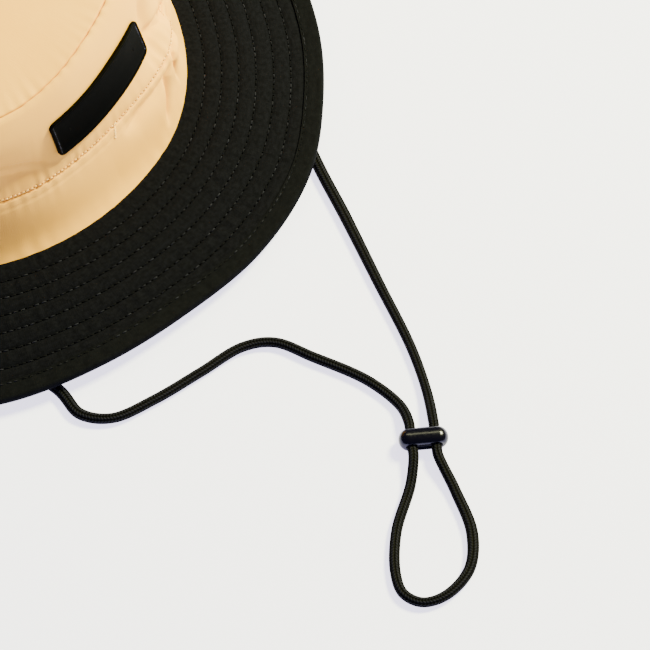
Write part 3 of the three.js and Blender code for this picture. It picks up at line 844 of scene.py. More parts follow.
def brim_radii(bearing):
    """Radii of the stations across the brim, close together at each row of quilting."""
    seam = outline("seam_r", bearing)[:, None]
    edge = outline("edge_r", bearing)[:, None]
    rows = [seam + row * (edge - seam) + ROW_STATIONS for row in QUILT_ROWS]
    return np.hstack([seam + SEAM_STATIONS, *rows, edge - EDGE_STATIONS])


def add_ring(name, parts, material):
    """Closed ring piece: at each bearing the parts' points go round a closed section."""
    points = np.concatenate(parts, axis=1)
    columns, stations, _ = points.shape
    faces = grid_faces(columns, stations, round_columns=True, round_rows=True)
    closed = np.concatenate([points, points[:, :1]], axis=1)
    steps = np.linalg.norm(np.diff(closed, axis=1), axis=-1).mean(axis=0)
    across = np.concatenate([[0], np.cumsum(steps)])
    around = UV_RADIUS * np.radians(np.append(bearings, bearings[0] + 360))
    uv = grid_uv(around, across)
    return add_piece(name, points.reshape(-1, 3), faces.tolist(), material, uv)


bearings = np.concatenate([FINE_FRONT, COARSE_BACK])
COLUMNS = len(bearings)
upper_radii = brim_radii(bearings)
lower_radii = upper_radii[:, ::3]
lower_face, upper_face = (
    to_points(bearings[:, None], radii, brim_face(bearings[:, None], radii, side))
    for radii, side in ((lower_radii, -1), (upper_radii, 1))
)
brim_cloth = cloth_material(
    "brim_cloth", low=(0.0021, 0.0022, 0.0052), high=(0.0036, 0.0038, 0.0090), patch=0.0014,
    thread=0.0005, relief=0.00022, roughness=0.85, gloss=0.015,
)
brim = add_ring(
    "brim_quilted_cloth", [lower_face, upper_face[:, ::-1]], brim_cloth
)
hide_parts("brim")


def stitch_bearings(radius, pitch, jitter, seed):
    """Bearings of the stitches on a ring round the hat, a little unevenly spaced."""
    dice = np.random.default_rng(seed)
    count = round(2 * pi * float(np.mean(radius)) / pitch)
    return (np.arange(count) + dice.uniform(-jitter, jitter, count)) * 360 / count


def stitch_places(height_at, radius_at, seed):
    """Centre, direction and outward normal of each stitch on a ring of the brim."""
    at = stitch_bearings(radius_at(bearings), STITCH_PITCH, STITCH_JITTER, seed)

    def place(bearing, outwards=0.0):
        radius = radius_at(bearing) + outwards
        return to_points(bearing, radius, height_at(bearing, radius))

    along = unit(place(at + STITCH_ASIDE) - place(at - STITCH_ASIDE))
    slope = place(at, STITCH_OUTWARDS) - place(at, -STITCH_OUTWARDS)
    return place(at), along, unit(np.cross(slope, along))


def quilt_height(bearing, radius):
    """Height of the thread on the quilted face, a little up from the bottom of its dip."""
    return brim_middle(bearing, radius) + BRIM_THICKNESS / 2 - QUILT_DIP * QUILT_STITCH_SUNK


quilt_places = []
for row_index, quilt_row in enumerate(QUILT_ROWS):

    def quilt_radius(bearing, row=quilt_row):
        seam = outline("seam_r", bearing)
        return seam + row * (outline("edge_r", bearing) - seam)

    quilt_places.append(stitch_places(quilt_height, quilt_radius, 60 + row_index))
quilt_places = [np.vstack(part) for part in zip(*quilt_places)]
add_stitches(
    "brim_quilting_stitches", quilt_places, STITCH_LENGTH, THREAD_RADIUS, black_thread,
)
add_needle_hole_shades(
    "brim_needle_hole_shades", quilt_places, STITCH_PITCH, NEEDLE_HOLE_RADIUS, needle_hole_shade
)

# Binding. A black tape folded over the raw edge of the brim and sewn through with one row of
# stitches near its inner edge. It is a little thicker than the brim, rounded along the fold
# and drawn in along the stitches.
BINDING_STITCH_INSET = 0.0066
BINDING_EDGE_ROUND = 0.0014
BINDING_DIP = 0.0003
BINDING_STITCH_SUNK = 0.8
BINDING_WAVE = 0.00014
BINDING_WAVE_COUNTS = (60, 130)
BINDING_WAVE_INSET = 0.0038
BINDING_WAVE_REACH = 0.003


def binding_half(bearing, inset):
    """Half the thickness of the folded tape, at a distance in from the brim's outer edge."""
    full = BINDING_THICKNESS / 2
    short = np.clip(1 - inset / BINDING_EDGE_ROUND, 0, 1)
    dip = BINDING_DIP * bell(inset - BINDING_STITCH_INSET, QUILT_DIP_WIDTH)
    middle = np.clip(np.abs(inset - BINDING_WAVE_INSET) / BINDING_WAVE_REACH, 0, 1)
    wave = BINDING_WAVE * ripples(bearing, 71, *BINDING_WAVE_COUNTS) * (1 - middle**2)
    return full * np.sqrt(1 - short**2) - dip + wave


def tape_face(insets, half):
    """One face of the folded tape, at distances in from its edge, off the brim's middle."""
    radii = outline("edge_r", bearings)[:, None] - insets
    return to_points(bearings[:, None], radii, brim_middle(bearings[:, None], radii) + half)


binding_insets = np.array((
    0.0074, 0.0071, 0.0068, 0.0064, 0.006, 0.0052, 0.0042, 0.0032, 0.0022, 0.0014, 0.0009,
    0.0005, 0.0002, 0.00005,
))
binding_thick = binding_half(bearings[:, None], binding_insets)
resting = np.minimum(binding_thick, BINDING_THICKNESS / 2)
mouth_insets = np.array((0.0074, 0.005, 0.0026, 0.0012))
mouth_half = BINDING_THICKNESS / 2 - BINDING_CLOTH
binding_section = [
    tape_face(binding_insets, -resting),
    tape_face(binding_insets, binding_thick)[:, ::-1],
    tape_face(mouth_insets, mouth_half),
    tape_face(mouth_insets, -mouth_half)[:, ::-1],
]
binding = add_ring("brim_binding_tape", binding_section, binding_tape)
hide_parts("brim_binding")


def binding_stitch_radius(bearing):
    """Radius of the row of stitches along the binding."""
    return outline("edge_r", bearing) - BINDING_STITCH_INSET


def binding_stitch_height(bearing, radius):
    """Height of the tape's upper face at the row of stitches."""
    return brim_middle(bearing, radius) + BINDING_THICKNESS / 2 - BINDING_DIP * BINDING_STITCH_SUNK


binding_places = stitch_places(binding_stitch_height, binding_stitch_radius, 81)
add_stitches(
    "brim_binding_stitches", binding_places, STITCH_LENGTH, THREAD_RADIUS, black_thread,
)

# Crown walls. Two strips of smooth cream cotton: a lower band sewn to the brim, and an upper
# side over the rounded shoulder, which laps over the band and is topstitched along the lap in
# cream thread. The soft cloth sinks into folds and bulges above the brim.
SEAM_GAP = 0.0003
CROWN_CLOTH = 0.0009
SHOULDER_RISE = 0.0012
BAND_BULGE = 0.0014
SIDE_LEAN = 0.35
SIDE_CLIMB = 0.6
SHOULDER_REACH = 0.4
FOLD_FADE = 0.35
WAVE_RISE = 0.066
WAVE_FRONT_HALF = 50
WAVE_FRONT_FADE = 40
WAVE_REACH = 0.0006
WAVE_FRONT = 0.3
BAND_TUCK = 0.0007
BAND_TUCK_FROM = 0.0002
BAND_TUCK_WIDTH = 0.0009
BAND_PRESS = 0.00016
BAND_PRESS_DOWN = 0.0034
BAND_PRESS_WIDTH = 0.0006
BAND_SEWN_WIDTH = 0.0015
BAND_SEWN_SHARE = 0.15
BAND_PUFF_FADE = 0.006
BAND_ROWS = 46
SIDE_PUFF_FADE = 0.008
SIDE_CREASE_FADE = 0.004
SIDE_ROWS = 64
INNER_ROWS = 14
PROFILE_STEP = 0.01
CREASE_SHARPNESS = 1.3
CREASE_SWELL = 0.3
CREASE_SWELL_WIDTH = 2.8
CREASE_END_SHARE = 0.3
BAND_REACH_DOWN = 0.0006
LAP_WIDTH = 0.0026
LAP_FADE = 0.0012
LAP_PROUD = 0.0001
LAP_DIP = 0.00012
LAP_DIP_WIDTH = 0.0005
LAP_REACH = 0.0006
LAP_STITCH_UP = 0.0005
LAP_STITCH_PITCH = 0.0017
EDGE_ROUND = 0.0006
HEM_REACH = 0.0025
TIP_EDGE_FALL = 1.3
WALL_RADIUS = 0.083
# Gathers at a seam: depth, how far they reach, seed, and fewest and most waves to the turn.
BAND_LOW_GATHER = (0.00010, 0.004, 90, 50, 110)
BAND_HIGH_GATHER = (0.00014, 0.004, 91, 60, 130)
SIDE_LOW_GATHER = (0.00014, 0.005, 93, 70, 150)
SIDE_HIGH_GATHER = (0.00018, 0.0035, 94, 45, 110)
# Soft folds: bearing, height, length, width, slant in degrees from level, and how far the
# cloth goes in (negative) or out.
FOLDS = (
    (27, 0.038, 0.020, 0.008, 0, 0.0046),
    (37, 0.034, 0.024, 0.005, 78, -0.0024),
    (-34, 0.045, 0.022, 0.005, 8, -0.0014),
    (-70, 0.034, 0.024, 0.008, 30, -0.0018),
    (84, 0.048, 0.026, 0.008, -35, -0.0018),
    (132, 0.036, 0.030, 0.009, 20, -0.0020),
    (-140, 0.050, 0.030, 0.009, -25, -0.0020),
    (172, 0.030, 0.026, 0.008, 60, -0.0016),
)
# Shallow puffs and hollows that only the cloth has, in the same terms.
PUFFS = (
    (-44, 0.067, 0.024, 0.009, 4, 0.0024),
    (-36, 0.049, 0.016, 0.0065, 0, -0.0022),
    (-48, 0.029, 0.013, 0.0060, 0, -0.0016),
    (25, 0.058, 0.013, 0.0055, 68, -0.0034),
    (70, 0.062, 0.030, 0.010, -8, 0.0016),
    (108, 0.028, 0.030, 0.007, 4, -0.0016),
    (150, 0.062, 0.030, 0.010, 8, 0.0016),
    (200, 0.030, 0.030, 0.007, -6, -0.0016),
    (238, 0.062, 0.030, 0.010, -4, 0.0018),
    (285, 0.028, 0.026, 0.007, 6, -0.0014),
)
# How strongly the band flares where it meets the brim, by bearing.
FLARE = (
    (-150, 0.5), (-110, 0.3), (-85, 0.5), (-55, 0.7), (-30, 1.0), (-5, 1.0), (6, 0.6),
    (13, 0.15), (32, 0.1), (48, 0.3), (65, 0.5), (90, 0.35), (120, 0.7), (150, 0.4), (180, 0.6),
    (210, 0.5),
)
FLARE_REACH = 0.0060
FLARE_RISE = 0.25
# Creases: width, depth, and the bearings and heights that each runs through.
CREASES = (
    (
        0.0016, 0.0024,
        ((46, 0.0395), (39, 0.0351), (34.5, 0.0368), (29.2, 0.0390), (26.6, 0.0384),
         (25.0, 0.0348), (25.8, 0.0294), (26.2, 0.0236), (26.2, 0.0180)),
    ),
    (
        0.0017, 0.0028,
        ((25, 0.0375), (23.2, 0.0373), (20.5, 0.0351), (19.2, 0.0308), (17.8, 0.0269),
         (15.2, 0.0216), (13.5, 0.0180)),
    ),
    (
        0.0034, 0.0028,
        ((24, 0.0365), (20.5, 0.0361), (15.2, 0.0354), (9.2, 0.0355), (4.8, 0.0347), (0, 0.0347)),
    ),
    (
        0.0018, 0.0028,
        ((19.5, 0.0520), (22.5, 0.0517), (25.2, 0.0517), (28.5, 0.0503), (31.8, 0.0486),
         (37.8, 0.0419), (42, 0.0402)),
    ),
    (
        0.0010, 0.0012,
        ((-46, 0.0610), (-36.2, 0.0577), (-33.2, 0.0556), (-29.8, 0.0537), (-25.5, 0.0494),
         (-22.5, 0.0464), (-18.5, 0.0436)),
    ),
    (
        0.0020, 0.0010,
        ((-46, 0.0520), (-37, 0.0502), (-32.8, 0.0478), (-29.2, 0.0468), (-22, 0.0430)),
    ),
    (0.0016, 0.0010, ((60, 0.0640), (66, 0.0540), (74, 0.0440))),
    (0.0016, 0.0011, ((94, 0.0350), (103, 0.0280), (112, 0.0240))),
    (0.0022, 0.0012, ((126, 0.0600), (134, 0.0500), (146, 0.0430))),
    (0.0014, 0.0010, ((156, 0.0400), (161, 0.0310), (163, 0.0210))),
    (0.0022, 0.0012, ((188, 0.0640), (196, 0.0520), (206, 0.0440))),
    (0.0016, 0.0011, ((228, 0.0370), (238, 0.0300), (250, 0.0260))),
    (0.0022, 0.0011, ((264, 0.0600), (274, 0.0500), (286, 0.0430))),
    (0.0014, 0.0009, ((291, 0.0370), (296, 0.0300), (298, 0.0210))),
)


def girth(bearing, start, radius):
    """Distance round the hat from one bearing to others, the short way."""
    return np.radians((bearing - start + 540) % 360 - 180) * radius


def gather(bearing, distance, depth, reach, seed, fewest, most):
    """Fine puckers that start at a seam and fade at a distance from it."""
    return depth * ripples(bearing, seed, fewest, most) * np.exp(-distance / reach)


def fold_depth(bearing, height, folds=FOLDS):
    """How far soft folds move the crown wall."""
    depth = 0
    for fold_bearing, fold_height, length, width, slant, reach in folds:
        across = girth(bearing, fold_bearing, outline("mid_r", bearing))
        up = height - fold_height
        along = across * cos(radians(slant)) + up * sin(radians(slant))
        beside = -across * sin(radians(slant)) + up * cos(radians(slant))
        depth = depth + reach * np.exp(-((along / length) ** 2) - (beside / width) ** 2)
    return depth


def crease_depth(bearing, height):
    """How far the creases move the crown wall: a sharp dip, with a soft swell on each side."""
    depth = 0
    for width, reach, stops in CREASES:
        nearest = np.full(np.broadcast(bearing, height).shape, 1.0)
        travel = np.zeros(nearest.shape)
        length = 0
        for (from_bearing, from_height), (to_bearing, to_height) in zip(stops, stops[1:]):
            across = girth(bearing, from_bearing, WALL_RADIUS)
            up = height - from_height
            run = radians(to_bearing - from_bearing) * WALL_RADIUS
            climb = to_height - from_height
            size = (run**2 + climb**2) ** 0.5
            share = np.clip((across * run + up * climb) / size**2, 0, 1)
            apart = np.hypot(across - share * run, up - share * climb)
            travel = np.where(apart < nearest, length + share * size, travel)
            nearest = np.minimum(apart, nearest)
            length += size
        from_end = np.minimum(travel, length - travel)
        ends = np.clip(from_end / (CREASE_END_SHARE * length), 0, 1)
        swell = CREASE_SWELL * bell(nearest, CREASE_SWELL_WIDTH * width)
        dip = np.exp(-((nearest / width) ** CREASE_SHARPNESS)) - swell
        depth = depth - reach * dip * (3 * ends**2 - 2 * ends**3)
    return depth


def band_profile(bearing, share):
    """Radius and height of the band: share 0 at the brim seam, 1 at the middle seam."""
    low = BRIM_SEAM_HEIGHT + SEAM_GAP
    height = low + (outline("mid_z", bearing) - SEAM_GAP / 2 - low) * share
    bulge = BAND_BULGE * np.sin(pi * share)
    fold = fold_depth(bearing, height) * np.minimum(1, share / FOLD_FADE)
    seam = outline("seam_r", bearing)
    return seam + (outline("mid_r", bearing) - seam) * share + bulge + fold, height


def side_profile(bearing, share):
    """Radius and height of the upper side: share 0 at the middle seam, 1 at the tip seam."""
    low_r = outline("mid_r", bearing)
    low_z = outline("mid_z", bearing) + SEAM_GAP / 2
    top_r = outline("tip_r", bearing)
    top_z = outline("tip_z", bearing)
    inward = low_r - top_r
    upward = top_z - low_z
    rest = 1 - share
    weights = (rest**3, 3 * rest**2 * share, 3 * rest * share**2, share**3)
    radii = (low_r, low_r - SIDE_LEAN * inward, top_r + SHOULDER_REACH * inward, top_r)
    heights = (low_z, low_z + SIDE_CLIMB * upward, top_z + SHOULDER_RISE, top_z)
    radius = sum(weight * value for weight, value in zip(weights, radii))
    height = sum(weight * value for weight, value in zip(weights, heights))
    return radius + fold_depth(bearing, height) * np.minimum(1, rest / FOLD_FADE), height


def rounded_off(distance):
    """How far a turned edge falls back, at a distance from it."""
    short = np.clip(1 - distance / EDGE_ROUND, 0, 1)
    return EDGE_ROUND * (np.sqrt(np.clip(1 - short**2, 0, 1)) - 1)


def slow_waves(bearing, height, seed):
    """Broad unevenness of soft cloth, drifting round the crown and up it, least at the front."""
    low = ripples(bearing, seed, 3, 9, 4)
    high = ripples(bearing, seed + 1, 4, 12, 4)
    share = np.clip((height - BRIM_SEAM_HEIGHT) / WAVE_RISE, 0, 1)
    from_front = np.abs((np.asarray(bearing) + 180) % 360 - 180)
    past_front = np.clip((from_front - WAVE_FRONT_HALF) / WAVE_FRONT_FADE, 0, 1)
    amplitude = WAVE_FRONT + (1 - WAVE_FRONT) * past_front
    return WAVE_REACH * amplitude * (low * (1 - share) + high * share)


def flare_depth(bearing, share):
    """How far the band sinks in above the turned-out edge that is sewn to the brim."""
    stops, weights = zip(*FLARE)
    weight = np.interp(bearing, stops, weights, period=360)
    return -FLARE_REACH * weight * (1 - np.exp(-share / FLARE_RISE)) * (1 - share)


def wall_length(profile):
    """Mean length of a wall profile, from bottom to top."""
    stops = np.linspace(0, 1, 60)
    radius, height = profile(bearings[::24, None], stops[None, :])
    return float(np.hypot(np.diff(radius, axis=1), np.diff(height, axis=1)).sum(axis=1).mean())


BAND_LENGTH = wall_length(band_profile)
SIDE_LENGTH = wall_length(side_profile)


def broad_forms(bearing, share, height, seed, fade):
    """Slow waves and puffs of a wall, the puffs fading by a share towards one of its seams."""
    waves = slow_waves(bearing, height, seed) * np.sin(pi * share)
    return waves + fold_depth(bearing, height, PUFFS) * np.clip(fade, 0, 1)


def band_relief(bearing, share, height):
    """Small forms of the band: turned lower edge, tucked top edge, pressed seam and creases."""
    up = share * BAND_LENGTH
    down = (1 - share) * BAND_LENGTH
    tuck = -BAND_TUCK * (1 - np.clip((down - BAND_TUCK_FROM) / BAND_TUCK_WIDTH, 0, 1)) ** 2
    pressed = BAND_PRESS * bell(down - BAND_PRESS_DOWN, BAND_PRESS_WIDTH)
    sewn_down = np.clip(up / BAND_SEWN_WIDTH, BAND_SEWN_SHARE, 1)
    lower = gather(bearing, up, *BAND_LOW_GATHER) * sewn_down
    gathers = lower + flare_depth(bearing, share) + gather(bearing, down, *BAND_HIGH_GATHER)
    broad = broad_forms(bearing, share, height, 92, up / BAND_PUFF_FADE)
    return tuck - pressed + gathers + broad + crease_depth(bearing, height)


def side_relief(bearing, share, height):
    """Small forms of the upper side: the lap with its stitched dip, tip-seam puckers, creases."""
    up = share * SIDE_LENGTH
    down = (1 - share) * SIDE_LENGTH
    lap = LAP_PROUD * (1 - np.clip((up - LAP_WIDTH) / LAP_FADE, 0, 1))
    stitched = -LAP_DIP * bell(up - LAP_STITCH_UP, LAP_DIP_WIDTH)
    gathers = gather(bearing, up, *SIDE_LOW_GATHER) + gather(bearing, down, *SIDE_HIGH_GATHER)
    broad = broad_forms(bearing, share, height, 95, down / SIDE_PUFF_FADE)
    creases = crease_depth(bearing, height) * np.clip(down / SIDE_CREASE_FADE, 0, 1)
    edges = rounded_off(up) + TIP_EDGE_FALL * rounded_off(down)
    return lap + stitched + gathers + broad + creases + edges


def wall_point(profile, relief, bearing, share, outward=0.0):
    """Points on a crown wall with its relief, and the way out of it."""
    radius, height = profile(bearing, share)
    ahead = profile(bearing, np.minimum(1, share + PROFILE_STEP))
    behind = profile(bearing, np.maximum(0, share - PROFILE_STEP))
    run = ahead[0] - behind[0]
    climb = ahead[1] - behind[1]
    size = np.hypot(run, climb)
    out = relief(bearing, share, height) + outward
    points = to_points(bearing, radius + out * climb / size, height - out * run / size)
    return points, to_points(bearing, climb / size, -run / size)


edge_stops = (0.0, 0.00008, 0.0002, 0.00036, 0.0006, 0.0009, 0.0012, 0.0016, 0.002)
crown_cloth = cloth_material(
    "crown_cloth", low=(0.84, 0.415, 0.074), high=(0.88, 0.445, 0.088), patch=0.03,
    thread=0.00045, relief=0.00005, roughness=0.6, gloss=0.12,
)
for wall_name, wall_profile, wall_relief, length, rows, reach_down in (
    ("crown_band", band_profile, band_relief, BAND_LENGTH, BAND_ROWS, BAND_REACH_DOWN),
    ("crown_side", side_profile, side_relief, SIDE_LENGTH, SIDE_ROWS, LAP_REACH),
):
    near = [stop / length for stop in edge_stops]
    far = [1 - share for share in reversed(near)]
    between = np.linspace(near[-1], far[0], rows + 2)[1:-1].tolist()
    outer_shares = np.array(near + between + far)
    faces = []
    for shares, inward in ((outer_shares, 0.0), (np.linspace(1, 0, INNER_ROWS), CROWN_CLOTH)):
        face, _ = wall_point(wall_profile, wall_relief, bearings[:, None], shares, -inward)
        face[:, :, 2] -= reach_down * np.exp(-shares * length / HEM_REACH)
        faces.append(face)
    wall = add_ring(f"{wall_name}_cloth", faces, crown_cloth)
    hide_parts(wall_name)

# Tip. The round top panel of the crown, cut from the same cream cloth and sewn inside the
# shoulder. The seam is turned in, so it reads as a thin puckered groove round a soft dome.
TIP_CENTRE_HEIGHT = 0.085
TIP_RINGS = 44
TIP_HOLE = 0.03
TIP_GATHER = (0.00011, 0.0035, 96, 45, 110)
TIP_WAVE = 0.00035
TIP_WAVE_FADE = 0.012
TIP_WAVE_X = 0.017
TIP_WAVE_Y = 0.021
TIP_WAVE_SLANT = 0.012
TIP_SLANT_SHARE = 0.6


def tip_surface(bearing, ring):
    """Radius and height of the tip: ring 1 at its seam, 0 in the middle."""
    edge = outline("tip_r", bearing) - SEAM_GAP
    radius = edge * ring
    in_from_seam = edge * (1 - ring)
    height = TIP_CENTRE_HEIGHT + (outline("tip_z", bearing) - TIP_CENTRE_HEIGHT) * ring**3
    x = radius * np.sin(np.radians(bearing))
    y = -radius * np.cos(np.radians(bearing))
    broad = np.sin(x / TIP_WAVE_X + 1.1) * np.sin(y / TIP_WAVE_Y + 0.4)
    broad = broad + TIP_SLANT_SHARE * np.sin((x + y) / TIP_WAVE_SLANT)
    waves = TIP_WAVE * broad * np.clip(in_from_seam / TIP_WAVE_FADE, 0, 1)
    relief = gather(bearing, in_from_seam, *TIP_GATHER) + waves
    return radius, height + relief + TIP_EDGE_FALL * rounded_off(in_from_seam)


def add_tip():
    """Closed disc of the cloth's thickness, from the middle of its top round to its underside."""
    radius = float(outline("tip_r", bearings).mean())
    near_seam = [1 - stop / radius for stop in edge_stops]
    rings = np.concatenate([near_seam, np.linspace(near_seam[-1], TIP_HOLE, TIP_RINGS)[1:]])
    turned = bearings[:, None]
    top = to_points(turned, *tip_surface(turned, rings))
    under = to_points(turned, *tip_surface(turned, rings[::4])) - (0, 0, CROWN_CLOTH)
    section = np.concatenate([under[:, ::-1], top], axis=1)
    stations = section.shape[1]
    faces = grid_faces(COLUMNS, stations, round_columns=True)
    middle_top = top[:, -1].mean(axis=0)
    middle_under = under[:, -1].mean(axis=0)
    points = np.vstack([section.reshape(-1, 3), middle_top, middle_under])
    top_index = COLUMNS * stations
    starts = range(0, top_index, stations)
    pairs = [(here, (here + stations) % top_index) for here in starts]
    top_last = stations - 1
    top_fan = [[here + top_last, beside + top_last, top_index] for here, beside in pairs]
    under_fan = [[beside, here, top_index + 1] for here, beside in pairs]
    all_faces = faces.tolist() + top_fan + under_fan
    uv = np.array([points[index][:2] for face in all_faces for index in face])
    return add_piece("crown_tip_cloth", points, all_faces, crown_cloth, uv)


tip = add_tip()
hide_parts("crown_tip")

# Cream stitching. One row of small topstitches along the lap of the upper side, and a short
# bar tack across the middle seam at the front, all in a thread a shade lighter than the cloth.
CREAM_THREAD_RADIUS = 0.00025
LAP_STITCH_LENGTH = 0.00105
LAP_HOLE_RADIUS = 0.00028
BAR_TACK_FROM = (-0.2, 0.0402)
BAR_TACK_TO = (-1.8, 0.0361)
BAR_TACK_STITCHES = 11
BAR_TACK_WIDTH = 0.0012
BAR_TACK_THREAD_RADIUS = 0.00018
BAR_TACK_SLANT = 0.35
BAR_TACK_LIFT = 0.0001
LAP_STITCH_JITTER = 0.06
LAP_STITCH_LIFT = 0.00012
LAP_STITCH_ASIDE = 0.3
cream_thread = thread_material(
    "cream_thread", low=(0.90, 0.55, 0.2), high=(0.95, 0.66, 0.32), roughness=0.5, gloss=0.2
)

lap_at = stitch_bearings(outline("mid_r", bearings), LAP_STITCH_PITCH, LAP_STITCH_JITTER, 101)
lap_share = LAP_STITCH_UP / SIDE_LENGTH
lap_points, lap_out = wall_point(side_profile, side_relief, lap_at, lap_share, LAP_STITCH_LIFT)
lap_behind, lap_ahead = (
    wall_point(side_profile, side_relief, lap_at + aside, lap_share)[0]
    for aside in (-LAP_STITCH_ASIDE, LAP_STITCH_ASIDE)
)
lap_points[:, 2] -= LAP_REACH * np.exp(-LAP_STITCH_UP / HEM_REACH)
lap_places = (lap_points, unit(lap_ahead - lap_behind), lap_out)
add_stitches(
    "crown_topstitches", lap_places, LAP_STITCH_LENGTH, CREAM_THREAD_RADIUS, cream_thread,
)
# Their dark brown dots are painted shade inside the needle holes.
cream_hole_shade, _ = new_material("cream_needle_hole_shade", (0.28, 0.11, 0.03), 1.0, 0.0)
add_needle_hole_shades(
    "crown_needle_hole_shades", lap_places, LAP_STITCH_PITCH, LAP_HOLE_RADIUS, cream_hole_shade
)
tack_bearing, tack_height = np.linspace(BAR_TACK_FROM, BAR_TACK_TO, BAR_TACK_STITCHES).T
seam_low = BRIM_SEAM_HEIGHT + SEAM_GAP
band_height = outline("mid_z", tack_bearing) - SEAM_GAP / 2 - seam_low
tack_points, tack_out = wall_point(
    band_profile, band_relief, tack_bearing, (tack_height - seam_low) / band_height, BAR_TACK_LIFT
)
tack_down = np.gradient(tack_points, axis=0)
odd_stitch = np.arange(BAR_TACK_STITCHES)[:, None] % 2
tack_slant = np.where(odd_stitch, BAR_TACK_SLANT, -BAR_TACK_SLANT)
tack_across = unit(np.cross(tack_down, tack_out))
tack_along = unit(tack_across + tack_slant * unit(tack_down))
add_stitches(
    "crown_bar_tack", (tack_points, tack_along, tack_out), BAR_TACK_WIDTH,
    BAR_TACK_THREAD_RADIUS, cream_thread,
)

# Patch. A moulded black rubber label, glued to the front of the crown and sewn to it with a row
# of small stitches at each end, with a raised smooth rim round a finely grained field. Its face
# is left bare.
PATCH_WIDTH = 0.0555
PATCH_HEIGHT = 0.0172
PATCH_CORNER = 0.0024
PATCH_LEAST_CORNER = 0.0002
PATCH_MARGIN = 0.00035
PATCH_THICKNESS = 0.0012
PATCH_FIELD = 0.66
PATCH_STITCH_INSET = 0.0014
PATCH_STITCH_PITCH = 0.0011
PATCH_STITCH_LENGTH = 0.0010
PATCH_STITCH_RADIUS = 0.00013
PATCH_STITCH_LIFT = 0.3
PATCH_ARC_STEPS = 10
PATCH_SIDE_STEPS = 44
PATCH_END_STEPS = 14
# Corners of the patch on the upper side, as bearing and share of its height.
PATCH_LEFT_LOW = np.array((-19.6, 0.110))
PATCH_LEFT_HIGH = np.array((-21.2, 0.435))
PATCH_RIGHT_LOW = np.array((19.6, 0.155))
PATCH_RIGHT_HIGH = np.array((19.3, 0.460))
# The label's loops from its back edge over its rim: inset, and share of its thickness.
PATCH_LOOPS = (
    (0.0000, 0.0), (0.0000, 0.35), (0.00008, 0.75), (0.0003, 0.97), (0.0006, 1.0),
    (0.0009, 0.97), (0.0011, 0.8), (0.0013, 0.68),
    *((inset, PATCH_FIELD) for inset in (0.0017, 0.003, 0.0045, 0.006, 0.0072, 0.0080)),
)


def no_relief(bearing, share, height):
    """A plain wall, without its creases."""
    return np.zeros_like(height)


def patch_point(across, up, out):
    """Points of the label's face, from distances across and up from its middle."""
    right = (across / PATCH_WIDTH + 0.5)[:, None]
    high = (up / PATCH_HEIGHT + 0.5)[:, None]
    low_side = PATCH_LEFT_LOW + (PATCH_RIGHT_LOW - PATCH_LEFT_LOW) * right
    high_side = PATCH_LEFT_HIGH + (PATCH_RIGHT_HIGH - PATCH_LEFT_HIGH) * right
    bearing, share = (low_side + (high_side - low_side) * high).T
    return wall_point(side_profile, no_relief, bearing, share, out)


def patch_outline(inset):
    """Rounded rectangle, drawn from the patch's middle, a distance in from its edge."""
    corner = max(PATCH_CORNER - inset, PATCH_LEAST_CORNER)
    across = PATCH_WIDTH / 2 - inset - corner
    up = PATCH_HEIGHT / 2 - inset - corner
    middles = np.array(((across, up), (-across, up), (-across, -up), (across, -up)))
    points = []
    for quarter in range(4):
        for step in range(PATCH_ARC_STEPS):
            turn = pi / 2 * (quarter + step / PATCH_ARC_STEPS)
            points.append(middles[quarter] + corner * np.array((cos(turn), sin(turn))))
        turn = pi / 2 * (quarter + 1)
        here = middles[quarter] + corner * np.array((cos(turn), sin(turn)))
        straight = middles[(quarter + 1) % 4] - middles[quarter]
        steps = (PATCH_SIDE_STEPS, PATCH_END_STEPS)[quarter % 2]
        points += [here + straight * step / steps for step in range(steps)]
    return np.array(points)


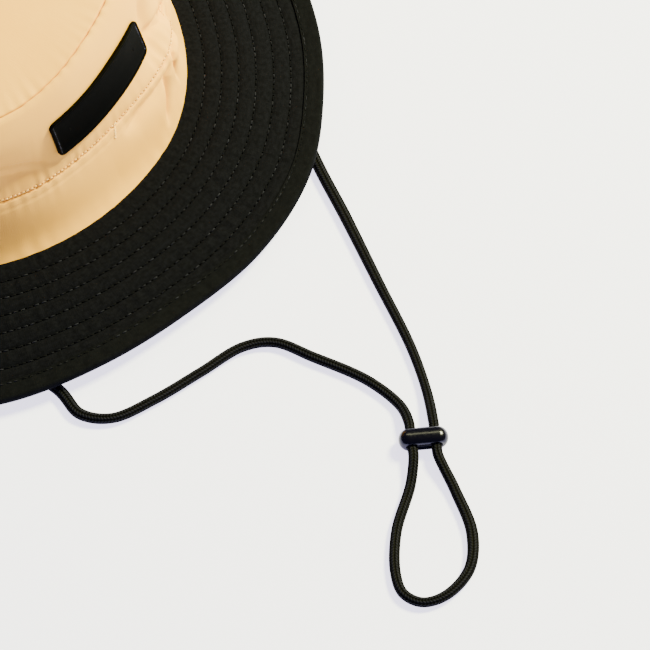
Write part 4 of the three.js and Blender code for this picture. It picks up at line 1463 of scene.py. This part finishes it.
def add_patch(material):
    """Label bent over the crown wall, built inwards from its back edge in rounded loops."""
    rings = []
    for inset, lift in PATCH_LOOPS:
        flat = patch_outline(inset)
        out = PATCH_MARGIN + lift * PATCH_THICKNESS
        rings.append(patch_point(flat[:, 0], flat[:, 1], out)[0])
    stack = np.array(rings)
    count = stack.shape[1]
    shell = bmesh.new()
    corners = [shell.verts.new(point) for point in stack.reshape(-1, 3)]
    for quad in grid_faces(len(stack), count, round_rows=True):
        shell.faces.new([corners[index] for index in quad])
    shell.faces.new(corners[:count])
    rim = corners[-count:]
    start = count - PATCH_END_STEPS // 2
    for step in range(1, count // 2 - 1):
        near = [rim[(start + step) % count], rim[(start + step + 1) % count]]
        far = [rim[(start - step - 1) % count], rim[(start - step) % count]]
        shell.faces.new(near + far)
    shell.faces.new([rim[start - 1], rim[start], rim[(start + 1) % count]])
    middle = start - count // 2
    shell.faces.new([rim[middle - 1], rim[middle], rim[middle + 1]])
    bmesh.ops.recalc_face_normals(shell, faces=shell.faces)
    points = [tuple(corner.co) for corner in shell.verts]
    shell.verts.index_update()
    faces = [[corner.index for corner in face.verts] for face in shell.faces]
    shell.free()
    return add_piece("front_patch_label", points, faces, material)


patch_rubber, _ = moulded_material(
    "patch_rubber", (0.0007, 0.0008, 0.0012), 0.015, grain=(2600.0, 2.0, 0.35, 0.0001),
    wear=(160.0, 3.0, 0.28, 0.55),
)
patch = add_patch(patch_rubber)
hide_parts("front_patch")
patch_thread = thread_material(
    "patch_thread", low=(0.02, 0.02, 0.04), high=(0.09, 0.09, 0.20), roughness=0.5, gloss=0.1
)
half_row = PATCH_HEIGHT / 2 - PATCH_STITCH_INSET
row_up = np.arange(-half_row + PATCH_STITCH_PITCH / 2, half_row, PATCH_STITCH_PITCH)
row_out = PATCH_MARGIN + PATCH_THICKNESS * PATCH_FIELD + PATCH_STITCH_RADIUS * PATCH_STITCH_LIFT
for row_side, row_name in ((-1, "right"), (1, "left")):
    row_across = np.full(len(row_up), row_side * (PATCH_WIDTH / 2 - PATCH_STITCH_INSET))
    row_points, row_normals = patch_point(row_across, row_up, row_out)
    row_places = (row_points, unit(np.gradient(row_points, axis=0)), row_normals)
    add_stitches(
        f"front_patch_stitches_{row_name}", row_places, PATCH_STITCH_LENGTH,
        PATCH_STITCH_RADIUS, patch_thread,
    )
